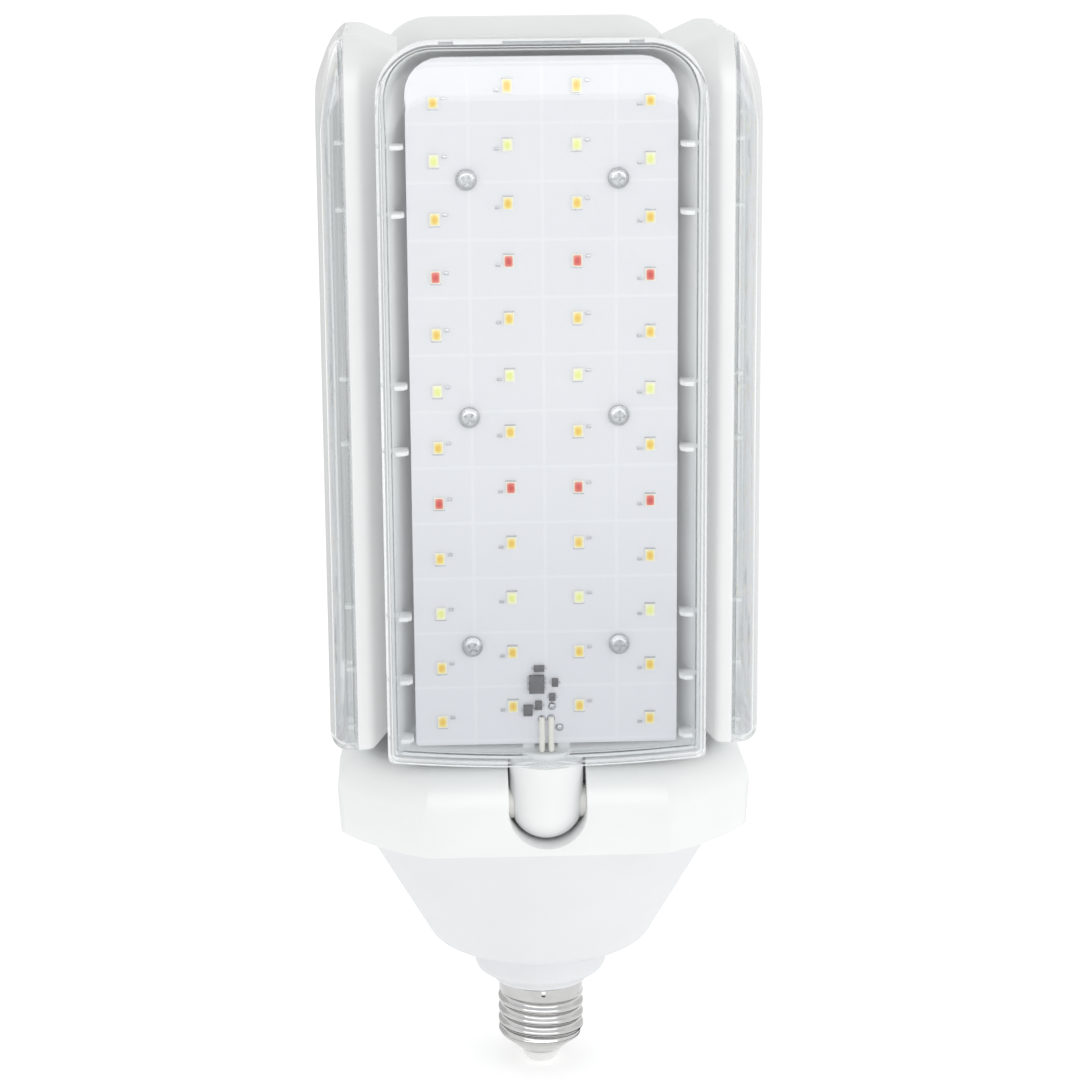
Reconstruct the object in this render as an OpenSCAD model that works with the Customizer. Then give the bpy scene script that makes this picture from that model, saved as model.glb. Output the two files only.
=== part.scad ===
// Folding screw-in garage light. Four light panels stand round a screw-cap hub, and each
// one swings outwards on its own hinge. The lamp stands on its cap here: +Z runs from the
// cap to the panels, the origin is on the axis at the upper rim of the screw shell, and the
// front panel faces -Y. A panel is drawn once, at the front, and turned about Z for the rest.
// In it, u is the distance from the lamp's axis towards the panel's face.

/* [Panels] */
// Width of a light panel
panel_w = 90; // [86:0.5:92]
// Height of a light panel
panel_h = 203.4; // [196:0.2:216]
// Radius of a panel's two upper corners
panel_corner_r = 16; // [13:0.5:18]
// How far the lower edge bows down at its middle
panel_bow = 2; // [1:0.1:2.4]
// Room at each corner: how much further out than its half width a panel's side wall starts
corner_room = 4.5; // [4:0.1:6]
// Depth of the shell's straight outer wall behind the rim
rim_band = 4; // [3.4:0.1:4.4]
// Depth of the whole back shell
shell_depth = 15; // [14:0.1:15.4]
// How far the sloping back edge runs in from the outline
back_slope = 10.5; // [9:0.1:11]
// How far it runs in at the panel's upper end
top_slope = 5; // [4:0.1:8]
// Wall of the back shell
shell_wall = 2; // [1.8:0.1:2.2]
// Width of the notch in the middle of the upper rim
rim_notch_w = 21; // [14:0.5:26]
// Width of the two small slots beside it
rim_slot_w = 4; // [3:0.5:6]
// Distance of each small slot from the middle
rim_slot_x = 25.7; // [22:0.1:27]

/* [Clear cover] */
// Depth of the clear cover in front of the rim
cover_depth = 8; // [7:0.1:9]
// Radius of its rounded edge
cover_edge_r = 5; // [4:0.1:6]
// How far the cover's upper end falls back from its face to the rim
crown_drop = 14; // [9:0.5:15]
// Wall of the clear cover
cover_wall = 1.5; // [1.2:0.1:1.8]
// Height of the lip that drops inside the shell
lip_h = 2.2; // [1.8:0.1:2.4]
// Thickness of that lip
lip_t = 1.2; // [1:0.1:1.4]

/* [Light board] */
// Width of the light board
board_w = 74; // [70:0.5:75]
// Gap between the board's upper edge and the panel's outline
board_top_gap = 5; // [4.5:0.1:6]
// Gap between the board's lower edge and the panel's outline
board_bottom_gap = 5.6; // [5.2:0.1:6.5]
// Thickness of the light board
board_t = 1.6; // [1.4:0.1:1.8]
// How far the board's face lies behind the rim
board_sink = 1.5; // [1.3:0.1:2]
// Height of the highest outer lamp below the board's upper edge
first_row_drop = 11.6; // [10.8:0.2:14]
// Height of the lowest outer lamp above the board's lower edge
last_row_rise = 7.1; // [6.5:0.1:9]
// Number of rows of lamps
rows = 12; // [8:1:12]
// Distance of the two inner columns from the middle
inner_col_x = 9.4; // [8:0.1:12]
// Distance of the two outer columns from the middle
outer_col_x = 29.4; // [27:0.1:32]
// How much higher the inner columns sit
inner_rise = 4.17; // [3.8:0.01:5]
// Width of one lamp package
led_w = 2.8; // [2.4:0.1:3.2]
// Height of one lamp package
led_h = 3.5; // [3:0.1:3.6]
// Thickness of one lamp package
led_t = 0.8; // [0.6:0.1:1.2]
// Distance of the board screws from the middle
screw_x = 20.7; // [18:0.1:22]
// Height of the highest board screws below the board's upper edge
screw_top_drop = 32.6; // [30:0.1:34]
// Height of the lowest board screws above the board's lower edge
screw_low_rise = 29; // [28:0.1:31]

/* [Snap tabs] */
// Half the distance between the two tabs of a pair
tab_half_gap = 9.2; // [7:0.1:12]
// Thickness of a tab
tab_t = 1.2; // [0.8:0.1:2]
// How far a tab stands out past the rim
tab_rise = 3; // [2:0.1:3.4]
// Height of the lowest single tab above the panel's lower edge
low_tab_z = 8.3; // [7.5:0.1:12]

/* [Hinges] */
// How far each hinge lies behind its panel's rim
hinge_setback = 4.5; // [4:0.1:5]
// Distance from the hinge to the panel's lower edge
hinge_reach = 12.7; // [12.4:0.1:15]
// Diameter of the hinge arm and its round end
arm_d = 21.2; // [20:0.1:21.6]
// Gap between the arm and the slot in the collar
slot_gap = 0.55; // [0.4:0.05:0.8]
// Diameter of the neck that enters the panel
neck_d = 13.4; // [12.4:0.1:14]
// Radius of the wire way through the arm
wire_way_r = 3.4; // [3:0.1:3.6]
// Radius of the wire exit in the round end
wire_exit_r = 3; // [2.4:0.1:3.2]
// Width of the arm's foot inside the panel
foot_w = 28; // [27.5:0.5:32]
// Thickness of the arm's foot
foot_t = 3.6; // [3:0.1:4]
// Height of the arm's foot
foot_h = 12; // [10:0.5:16]
// Diameter of a hinge pin
pin_d = 5; // [4:0.1:5.4]
// Distance from the hinge's middle to a pin's inner end
pin_in_x = 4.4; // [4.1:0.1:5]
// Distance from the hinge's middle to a pin's outer end
pin_out_x = 17.4; // [16:0.1:18.5]
// Outer diameter of a friction washer
washer_d = 9.6; // [8.6:0.1:10]
// Thickness of a friction washer
washer_t = 2.3; // [1.8:0.1:2.5]

/* [Collar] */
// Radius of the collar's upper edge, about each hinge
pivot_round_r = 11; // [10.8:0.1:11.6]
// How much further out than its flats the collar's round corners reach
collar_corner_reach = 9; // [7:0.1:11]
// How much the collar narrows towards its lower edge
collar_draft = 0.8; // [0.4:0.1:1.2]
// Height of the lower half, up to the hinge axis
lower_collar_h = 13.2; // [13:0.1:15]
// Wall of both collar halves
collar_wall = 2.4; // [2:0.1:2.8]
// Thickness of the lower half's floor
collar_floor_t = 2.2; // [1.8:0.1:3]
// Width of that floor between a hinge's seat and the opening for the wires
collar_floor_w = 2.2; // [2:0.1:6]
// Half the width of the block round each hinge slot
pod_half_w = 20; // [19.5:0.1:21]
// Wall behind the round seat of each hinge
seat_wall = 2.6; // [2:0.1:2.8]
// Width of the wire window behind each hinge
window_w = 8; // [6:0.5:9]
// Height of the wire window
window_h = 14; // [10:0.5:15]

/* [Cone housing] */
// Height of the joint between cone housing and collar
cone_top_z = 59.3; // [57:0.1:64]
// How much narrower than the collar's flats the cone is at that joint
cone_top_step = 2; // [1.4:0.1:4]
// Rise of the cone's wall for each millimetre of radius
cone_steepness = 1.73; // [1.68:0.01:1.8]
// Height of the cone's flat underside
cone_floor_z = 7.9; // [7:0.1:10]
// Radius of the bend between the cone and its underside
cone_bend_r = 20.8; // [16:0.1:22]
// Wall of the cone housing
cone_wall = 2.2; // [1.8:0.1:2.6]
// Radius of the neck ring above the cap
neck_ring_r = 19.7; // [18:0.1:21]
// Height of the ledge under the junction board
ledge_z = 33; // [30:0.1:35]

/* [Screw cap] */
// Thread's outer diameter
cap_d = 26.3; // [26:0.05:26.4]
// Thread's pitch
cap_pitch = 3.63; // [3.5:0.01:3.7]
// Depth of the rolled thread
thread_depth = 1.05; // [0.8:0.05:1.2]
// Number of turns of thread
thread_turns = 4; // [3:1:4]
// Height of the plain band under the rim
plain_band_h = 4; // [3.6:0.1:4.4]
// Thickness of the screw shell's metal
shell_metal_t = 0.4; // [0.3:0.05:0.5]
// Radius where the metal ends and the insulator shows
insulator_r = 6.5; // [5.5:0.1:7.5]
// Whole length of the cap from rim to contact
cap_length = 27.6; // [27.5:0.1:28.5]
// Radius of the centre contact
contact_r = 2.4; // [2:0.1:2.7]

/* [Fasteners] */
// Diameter of a board screw's shank
small_screw_d = 2.4; // [2:0.1:2.8]
// Diameter of a board screw's head
small_head_d = 5.8; // [5:0.1:6]
// Height of a board screw's head
small_head_h = 2; // [1.6:0.1:2.2]
// Length of a board screw's shank
small_screw_l = 9; // [8:0.5:10]
// Diameter of a collar screw's shank
long_screw_d = 3.4; // [3:0.1:3.6]
// Diameter of a collar screw's head
long_head_d = 6.6; // [6:0.1:7]
// Height of a collar screw's head
long_head_h = 2.4; // [2:0.1:2.6]
// How far a collar screw goes into the cone housing
long_screw_bite = 11.8; // [9:0.1:12]

/* [Wiring] */
// Diameter of a lead
lead_d = 1.6; // [1.2:0.1:1.7]
// Distance of a lead from the middle of the arm
lead_x = 1.3; // [1.2:0.05:1.5]
// Height of the solder end above the board's lower edge
lead_end_rise = 8; // [6:0.5:9]

/* [Fits] */
// Gap round a pin that turns in its bore
pin_gap = 0.05; // [0.03:0.01:0.08]
// Gap between pieces that are fixed together
fit_gap = 0.1; // [0.05:0.01:0.15]
// Gap between pieces that move past each other
run_gap = 0.4; // [0.35:0.05:0.5]

/* [Hidden] */

$fn = 48;
over = 1;                       // how far a cut runs past the face that it opens
FRONT = 0;
RIGHT = 90;
BACK = 180;
LEFT = 270;
SIDES = [FRONT, RIGHT, BACK, LEFT];

// Heights and depths shared by the pieces
hinge_z = cone_top_z + lower_collar_h;
panel_z0 = hinge_z + hinge_reach;
panel_z1 = panel_z0 + panel_h;
slope_u = panel_w / 2 + corner_room;
rim_u = slope_u + rim_band;
back_u = rim_u - shell_depth;
floor_u = back_u + shell_wall;
face_u = rim_u + cover_depth;
board_u1 = rim_u - board_sink;
board_u0 = board_u1 - board_t;
board_z0 = panel_z0 + board_bottom_gap;
board_z1 = panel_z1 - board_top_gap;
arm_r = arm_d / 2;
slot_r = arm_r + slot_gap;
neck_r = neck_d / 2;
neck_hole_r = neck_r + fit_gap;
hinge_u = rim_u - hinge_setback;
collar_half_w = hinge_u + pivot_round_r;
collar_round_r = collar_half_w + collar_corner_reach;
collar_hole_r = hinge_u - slot_r - seat_wall - collar_floor_w;
deck_z = hinge_z + pivot_round_r;
washer_out_x = slot_r - pin_gap;
washer_in_x = washer_out_x - washer_t;
foot_z0 = panel_z0 + back_slope + 2 * shell_wall;
foot_lift = 2;                  // height of the bosses under the arm's foot
foot_u0 = floor_u + foot_lift;
foot_u1 = foot_u0 + foot_t;
foot_screw_edge = 3.6;          // distance of a foot screw from the foot's end
foot_screw_x = foot_w / 2 - foot_screw_edge;
foot_screw_z = foot_z0 + foot_h / 2;
board_h = board_z1 - board_z0;
row_pitch = (board_h - first_row_drop - last_row_rise) / (rows - 1);
screw_pitch = (board_h - screw_top_drop - screw_low_rise) / 2;
screw_z = board_z0 + screw_low_rise + screw_pitch;
SCREW_ROWS = [-screw_pitch, 0, screw_pitch];

// Outline of a panel, seen from its front: the inset draws it in at its sides and foot, and
// the drop lowers its upper end
CORNER_STEPS = 8;
BOW_STEPS = 8;
function corner_arc(cx, cz, r, from) = [
    for (k = [0:CORNER_STEPS])
        let (a = from + 90 * k / CORNER_STEPS) [cx + r * cos(a), cz + r * sin(a)]
];
function bow_edge(w, z) = [
    for (k = [0:BOW_STEPS])
        let (s = 2 * k / BOW_STEPS - 1) [s * w, z + panel_bow * s * s]
];
function panel_outline(inset, drop) =
    let (w = panel_w / 2, c = w - panel_corner_r, r = panel_corner_r - inset, z = panel_z1 - drop - r)
    concat(
        corner_arc(c, z, r, 0),
        corner_arc(-c, z, r, 90),
        bow_edge(w - inset, panel_z0 + inset)
    );

// Solid through several outlines, each given as [u, inset, drop], from the back to the front
module panel_loft(sections) {
    m = len(panel_outline(0, 0));
    n = len(sections);
    points = [for (s = sections) for (p = panel_outline(s[1], s[2])) [p[0], -s[0], p[1]]];
    back_cap = [for (k = [0:m - 1]) k];
    front_cap = [for (k = [m - 1:-1:0]) (n - 1) * m + k];
    lower_half = [for (s = [0:n - 2]) for (k = [0:m - 1])
        [s * m + k, (s + 1) * m + k, s * m + (k + 1) % m]];
    upper_half = [for (s = [0:n - 2]) for (k = [0:m - 1])
        [s * m + (k + 1) % m, (s + 1) * m + k, (s + 1) * m + (k + 1) % m]];
    polyhedron(points, concat([back_cap, front_cap], lower_half, upper_half));
}

// Plate cut from an outline in X and Z, from one depth to another
module plate(u0, u1) {
    rotate([90, 0, 0]) translate([0, 0, u0]) linear_extrude(u1 - u0) children();
}

// Box given by its lowest and highest X, u and Z
module block(low, high) {
    translate([low[0], -high[1], low[2]])
        cube([high[0] - low[0], high[1] - low[1], high[2] - low[2]]);
}

// Round bar across a panel's depth
module depth_bar(x, z, r, u0, u1) {
    translate([x, -u0, z]) rotate([90, 0, 0]) cylinder(h = u1 - u0, r = r);
}

// Round bar along X through a hinge's middle
module hinge_bar(r, x0, x1) {
    translate([x0, -hinge_u, hinge_z]) rotate([0, 90, 0]) cylinder(h = x1 - x0, r = r);
}

// Wire through a list of points that lie in one plane, given by the plane's normal
WIRE_SIDES = 10;
function unit(v) = v / norm(v);
function wire_ring(points, k, r, normal) =
    let (
        before = unit(points[max(k, 1)] - points[max(k, 1) - 1]),
        after = unit(points[min(k + 1, len(points) - 1)] - points[min(k, len(points) - 2)]),
        along = unit(before + after),
        across = cross(normal, along) / (along * after)
    )
    [for (j = [0:WIRE_SIDES - 1])
        let (a = 360 * j / WIRE_SIDES) points[k] + r * (cos(a) * normal + sin(a) * across)];
module wire(points, d, normal) {
    n = len(points);
    m = WIRE_SIDES;
    rings = [for (k = [0:n - 1]) for (p = wire_ring(points, k, d / 2, normal)) p];
    first_cap = [for (j = [0:m - 1]) j];
    last_cap = [for (j = [m - 1:-1:0]) (n - 1) * m + j];
    walls = [for (k = [0:n - 2]) for (j = [0:m - 1])
        [k * m + j, (k + 1) * m + j, (k + 1) * m + (j + 1) % m, k * m + (j + 1) % m]];
    polyhedron(rings, concat([first_cap, last_cap], walls));
}

module at_side(angle) {
    rotate([0, 0, angle]) children();
}

module at_every_side() {
    for (angle = SIDES) at_side(angle) children();
}

// Screw along -Z from its seat at the origin, with a cross recess in its pan head
module cross_screw(shank_d, shank_l, head_d, head_h) {
    rim_h = head_h / 2;
    top_d = head_d * 2 / 3;
    slot_w = head_d / 6;
    difference() {
        union() {
            translate([0, 0, -shank_l]) cylinder(h = shank_l, d = shank_d);
            cylinder(h = rim_h, d = head_d);
            translate([0, 0, rim_h]) cylinder(h = head_h - rim_h, d1 = head_d, d2 = top_d);
        }
        for (turn = [0, 90]) rotate([0, 0, turn])
            translate([-top_d / 2, -slot_w / 2, rim_h]) cube([top_d, slot_w, head_h]);
    }
}

/* ---- Screw cap ---- */

cap_r = cap_d / 2;
thread_root_r = cap_r - thread_depth;
thread_z0 = -plain_band_h;
thread_z1 = thread_z0 - thread_turns * cap_pitch;
cone_tip_z = thread_z1 - (thread_root_r - insulator_r);
THREAD_STEPS = 8;

// Wavy side of the rolled thread, drawn in by a given distance
function thread_side(inset) = [
    for (k = [0:thread_turns * THREAD_STEPS])
        let (turn = k / THREAD_STEPS)
        [thread_root_r - inset + thread_depth * (1 + cos(360 * turn)) / 2,
         thread_z0 - turn * cap_pitch]
];

module shell_profile(inset, top) {
    polygon(concat(
        [[0, top], [cap_r - inset, top]],
        thread_side(inset),
        [[thread_root_r - inset, thread_z1 - thread_depth], [insulator_r - inset, cone_tip_z],
         [0, cone_tip_z]]
    ));
}

module screw_shell() {
    color("silver") rotate_extrude() difference() {
        shell_profile(0, 0);
        shell_profile(shell_metal_t, over);
        translate([0, cone_tip_z - over]) square([insulator_r - shell_metal_t, 2 * over]);
    }
}

insulator_wall = 2.4;
live_hole_r = lead_d / 2 + fit_gap;
contact_edge = 0.6;             // width of the insulator's rim round the contact
tip_r = contact_r + contact_edge;
contact_t = 1.2;
tip_z = contact_t / 2 - cap_length;

// Glass plug that closes the cap's lower end
module cap_insulator() {
    inside_r = thread_root_r - shell_metal_t - fit_gap;
    color("whitesmoke") rotate_extrude() polygon([
        [live_hole_r, thread_z1 + insulator_wall],
        [inside_r, thread_z1 + insulator_wall],
        [inside_r, thread_z1 - thread_depth],
        [insulator_r - shell_metal_t - fit_gap, cone_tip_z],
        [insulator_r - shell_metal_t - fit_gap, cone_tip_z - fit_gap],
        [insulator_r, cone_tip_z - fit_gap],
        [tip_r, tip_z],
        [live_hole_r, tip_z]
    ]);
}

module centre_contact() {
    color("goldenrod") rotate_extrude() polygon([
        [0, -cap_length],
        [contact_r * 0.7, -cap_length],
        [contact_r, -cap_length + contact_t / 3],
        [contact_r, tip_z],
        [0, tip_z]
    ]);
}

/* ---- Cone housing ---- */

cone_top_r = collar_half_w - cone_top_step;
cone_lean = atan(cone_steepness);
cone_corner_r = cone_top_r - (cone_top_z - cone_floor_z) / cone_steepness;
bend_reach = cone_bend_r * tan(cone_lean / 2);
bend_centre = [cone_corner_r - bend_reach, cone_floor_z + cone_bend_r];
plug_r = cap_r - shell_metal_t - fit_gap;
plug_short = 0.5;               // how far the plug ends above the thread
plug_depth = plain_band_h - plug_short;
plug_bore_r = 9.5;
neck_inner_r = neck_ring_r - 5;
neck_inner_z = 6;
bore_top_z = 1.5;
BEND_STEPS = 10;

// Flare of the neck between the cap's rim and the neck ring: [radius, height]
NECK_FLARE = [
    [plug_r + 1, 0], [plug_r + 1.4, 1.6], [neck_ring_r - 2.2, 3.6], [neck_ring_r - 0.9, 5.2]
];

function cone_r_at(z) = cone_top_r - (cone_top_z - z) / cone_steepness;

// Bend from the underside up to the cone's wall, from where it leaves a given radius
function cone_bend(r, from_r) = [
    for (k = [0:BEND_STEPS])
        let (
            first = -acos(max(0, from_r - bend_centre[0]) / r),
            a = first + (cone_lean - 90 - first) * k / BEND_STEPS
        )
        bend_centre + r * [cos(a), sin(a)]
];

module cone_outer_profile() {
    polygon(concat(
        [[0, -plug_depth], [plug_r, -plug_depth], [plug_r, 0]],
        NECK_FLARE,
        [[neck_ring_r, cone_floor_z]],
        cone_bend(cone_bend_r, neck_ring_r),
        [[cone_top_r, cone_top_z], [0, cone_top_z]]
    ));
}

module cone_inner_profile() {
    slant = cone_wall / sin(cone_lean);
    polygon(concat(
        [[0, -plug_depth - over], [plug_bore_r, -plug_depth - over],
         [plug_bore_r, bore_top_z], [neck_inner_r, neck_inner_z],
         [neck_inner_r, cone_floor_z + cone_wall]],
        cone_bend(cone_bend_r - cone_wall, neck_inner_r),
        [[cone_top_r - slant, cone_top_z], [cone_top_r - slant, cone_top_z + over],
         [0, cone_top_z + over]]
    ));
}

screw_boss_r = 4;
screw_boss_drop = 16;
screw_boss_floor = 2;
screw_post_r = 5;
ledge_w = 4;
ledge_t = 2;
junction_edge_gap = 0.5;
junction_r = cone_r_at(ledge_z) - cone_wall / sin(cone_lean) - junction_edge_gap;
junction_t = 1.6;

screw_boss_inset = 2.4;         // distance of a boss's middle from the wall at its foot
collar_screw_xy = (cone_r_at(cone_top_z - screw_boss_drop) - cone_wall / sin(cone_lean)
                   - screw_boss_inset) / sqrt(2);

module at_collar_screws() {
    for (sx = [-1, 1]) for (sy = [-1, 1])
        translate([sx * collar_screw_xy, sy * collar_screw_xy, 0]) children();
}

module cone_housing() {
    color("gainsboro") difference() {
        union() {
            rotate_extrude($fn = 96) difference() {
                cone_outer_profile();
                cone_inner_profile();
            }
            intersection() {
                rotate_extrude($fn = 96) cone_outer_profile();
                union() {
                    at_collar_screws() translate([0, 0, cone_top_z - screw_boss_drop])
                        cylinder(h = screw_boss_drop, r = screw_boss_r);
                    translate([0, 0, ledge_z - ledge_t]) difference() {
                        cylinder(h = ledge_t, r = cone_top_r);
                        translate([0, 0, -over])
                            cylinder(h = ledge_t + 2 * over, r = junction_r - ledge_w);
                    }
                }
            }
        }
        at_collar_screws() translate([0, 0, cone_top_z - screw_boss_drop + screw_boss_floor])
            cylinder(h = screw_boss_drop, d = long_screw_d + 2 * pin_gap);
    }
}

/* ---- Collar ---- */

// Bar along Y with one section all the way through
module bar_along_y() {
    length = 2 * collar_round_r;
    rotate([90, 0, 0]) translate([0, 0, -length / 2]) linear_extrude(length) children();
}

// Lower half, drawn in by a given distance: sides that lean out, corners cut to a round
module lower_form(inset, top_z) {
    lean = collar_draft / lower_collar_h;
    low_in = inset + collar_draft;
    top_in = inset - lean * (top_z - hinge_z);
    low_w = collar_half_w - low_in;
    top_w = collar_half_w - top_in;
    intersection() {
        for_both_axes() bar_along_y() polygon([
            [-low_w, cone_top_z], [low_w, cone_top_z], [top_w, top_z], [-top_w, top_z]
        ]);
        translate([0, 0, cone_top_z]) cylinder(
            h = top_z - cone_top_z, r1 = collar_round_r - low_in, r2 = collar_round_r - top_in,
            $fn = 96
        );
    }
}

// Section of the upper half: walls that round over into the deck
module upper_section(half_w, inset, low_z) {
    centre = half_w - pivot_round_r;
    intersection() {
        union() {
            translate([-centre, 0]) square([2 * centre, deck_z - inset]);
            for (x = [-centre, centre])
                translate([x, hinge_z]) circle(r = pivot_round_r - inset);
        }
        translate([-half_w, low_z]) square([2 * half_w, deck_z]);
    }
}

// Upper half, drawn in by a given distance, from a given height
module upper_form(inset, low_z) {
    intersection() {
        for_both_axes() bar_along_y() upper_section(collar_half_w, inset, low_z);
        rotate_extrude($fn = 96) intersection() {
            upper_section(collar_round_r, inset, low_z);
            square([collar_round_r, 2 * deck_z]);
        }
    }
}

// What a form has in common with its own copy turned by a quarter
module for_both_axes() {
    intersection() {
        children();
        rotate([0, 0, 90]) children();
    }
}

// Space that an arm needs from upright to level, with its pins, washers and wires
module hinge_space() {
    reach = collar_round_r;
    translate([0, -hinge_u, hinge_z]) {
        sphere(r = slot_r);
        cylinder(h = reach, r = slot_r);
        rotate([90, 0, 0]) cylinder(h = reach, r = slot_r);
        translate([-slot_r, -reach, 0]) cube([2 * slot_r, reach, reach]);
    }
    hinge_bar(washer_d / 2 + run_gap, -slot_r, slot_r);
    hinge_bar(pin_d / 2 + pin_gap, -pin_out_x - fit_gap, pin_out_x + fit_gap);
    block([-window_w / 2, collar_hole_r - over, hinge_z - window_h / 2],
          [window_w / 2, hinge_u, hinge_z + window_h / 2]);
}

// Solid block round a hinge slot, between the seat and the outer wall
module hinge_pod() {
    block([-pod_half_w, hinge_u - slot_r - seat_wall, 0],
          [pod_half_w, collar_half_w + over, 2 * deck_z]);
}

module screw_posts() {
    at_collar_screws() cylinder(h = 2 * deck_z, r = screw_post_r);
}

module lower_collar() {
    color("white") difference() {
        lower_form(0, hinge_z);
        difference() {
            intersection() {
                lower_form(collar_wall, hinge_z + over);
                translate([0, 0, cone_top_z + collar_floor_t])
                    cylinder(h = lower_collar_h, r = collar_round_r);
            }
            at_every_side() hinge_pod();
            screw_posts();
        }
        cylinder(h = cone_top_z + collar_floor_t + over, r = collar_hole_r);
        at_every_side() hinge_space();
        at_collar_screws() cylinder(h = deck_z, d = long_screw_d + 2 * run_gap);
    }
}

module upper_collar() {
    color("white") difference() {
        upper_form(0, hinge_z);
        difference() {
            upper_form(collar_wall, hinge_z - over);
            at_every_side() hinge_pod();
            screw_posts();
        }
        at_every_side() hinge_space();
        at_collar_screws() cylinder(h = 2 * deck_z, d = long_screw_d + 2 * run_gap);
        at_collar_screws() translate([0, 0, deck_z - long_head_h - head_sink])
            cylinder(h = long_head_h + over, d = long_head_d + 2 * run_gap);
    }
}

head_sink = 0.6;                // how far a collar screw's head lies below the deck
module collar_screws() {
    seat_z = deck_z - long_head_h - head_sink;
    shank_l = seat_z - cone_top_z + long_screw_bite;
    color("silver") at_collar_screws() translate([0, 0, seat_z])
        cross_screw(long_screw_d, shank_l, long_head_d, long_head_h);
}

module hinge_pins() {
    color("silver") at_every_side() for (side = [0, 180])
        translate([0, -hinge_u, 0]) rotate([0, 0, side]) translate([0, hinge_u, 0])
            hinge_bar(pin_d / 2, pin_in_x, pin_out_x);
}

module friction_washers() {
    color("dimgray") at_every_side() for (side = [0, 180])
        translate([0, -hinge_u, 0]) rotate([0, 0, side]) translate([0, hinge_u, 0])
            difference() {
                hinge_bar(washer_d / 2, washer_in_x, washer_out_x);
                hinge_bar(pin_d / 2 + pin_gap, 0, pin_out_x);
            }
}

/* ---- Wiring in the hub ---- */

junction_top = ledge_z + junction_t;
live_x = -5;
neutral_x = 5;
wire_bend_z = 2;                // height where both supply wires turn towards the board
solder_h = 4;                   // straight length of a supply wire above the insulator

module junction_board() {
    color("darkgreen") difference() {
        translate([0, 0, ledge_z]) cylinder(h = junction_t, r = junction_r);
        for (x = [live_x, neutral_x]) translate([x, 0, 0])
            cylinder(h = 2 * ledge_z, r = lead_d / 2 + fit_gap);
    }
}

resistor_d = 4.5;
resistor_l = 12;
resistor_y = -10;
module fuse_resistor() {
    color("seagreen") translate([-resistor_l / 2, resistor_y, junction_top + resistor_d / 2])
        rotate([0, 90, 0]) cylinder(h = resistor_l, d = resistor_d);
}

TERMINALS = [-1, 0, 1];
terminal_pitch = 5;
terminal_w = 4.8;
terminal_h = 8;
terminal_y = 12;
terminal_bore_r = 1.4;
terminal_floor_t = 3;
module terminal_block() {
    color("ivory") for (k = TERMINALS)
        translate([k * terminal_pitch, terminal_y, junction_top]) difference() {
            translate([-terminal_w / 2, -terminal_h / 2, 0])
                cube([terminal_w, terminal_h, terminal_h]);
            translate([0, 0, terminal_floor_t])
                cylinder(h = terminal_h, r = terminal_bore_r);
        }
}

module live_wire() {
    color("firebrick") wire([
        [0, 0, tip_z], [0, 0, thread_z1 + insulator_wall + solder_h],
        [live_x, 0, wire_bend_z], [live_x, 0, junction_top]
    ], lead_d, [0, 1, 0]);
}

module neutral_wire() {
    solder_r = thread_root_r - shell_metal_t - lead_d / 2;
    solder_z = thread_z1 + 2 * insulator_wall;
    color("royalblue") wire([
        [solder_r, 0, solder_z], [solder_r, 0, solder_z + solder_h / 2],
        [neutral_x, 0, wire_bend_z], [neutral_x, 0, junction_top]
    ], lead_d, [0, 1, 0]);
}

// Two leads for each panel, from the junction board to the window behind its hinge
hub_lead_u = 20;
hub_lead_rise = 8;              // height from the leads' lower bend to the hinge axis
module hub_leads() {
    end_u = hinge_u - arm_r - run_gap;
    bend_u = hub_lead_u + hub_lead_rise;
    color("dimgray") at_every_side() for (x = [-lead_x, lead_x]) wire([
        [x, -hub_lead_u, junction_top], [x, -hub_lead_u, hinge_z - hub_lead_rise],
        [x, -bend_u, hinge_z - hub_lead_rise / 3], [x, -end_u, hinge_z]
    ], lead_d, [1, 0, 0]);
}

/* ---- One light panel ---- */

SHELL_STEPS = [[back_u, back_slope, top_slope], [slope_u, 0, 0], [rim_u, 0, 0]];
side_rate = back_slope / (slope_u - back_u);
top_rate = top_slope / (slope_u - back_u);
root = 0.5;                     // how far a boss or tab runs into the wall that carries it
board_boss_r = 3.4;
foot_boss_r = 3;
notch_depth = 1.6;
tab_root_h = (shell_wall - 2 * root) / side_rate;   // a tab's root stays in the sloping wall
tab_board_gap = 0.6;

// Sloping wall's thickness across the panel, and how far its inside has run in at the floor
function slant_wall(rate) = shell_wall * sqrt(1 + rate * rate);
function floor_inset(rate) = rate * (slope_u - floor_u) + slant_wall(rate);

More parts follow.
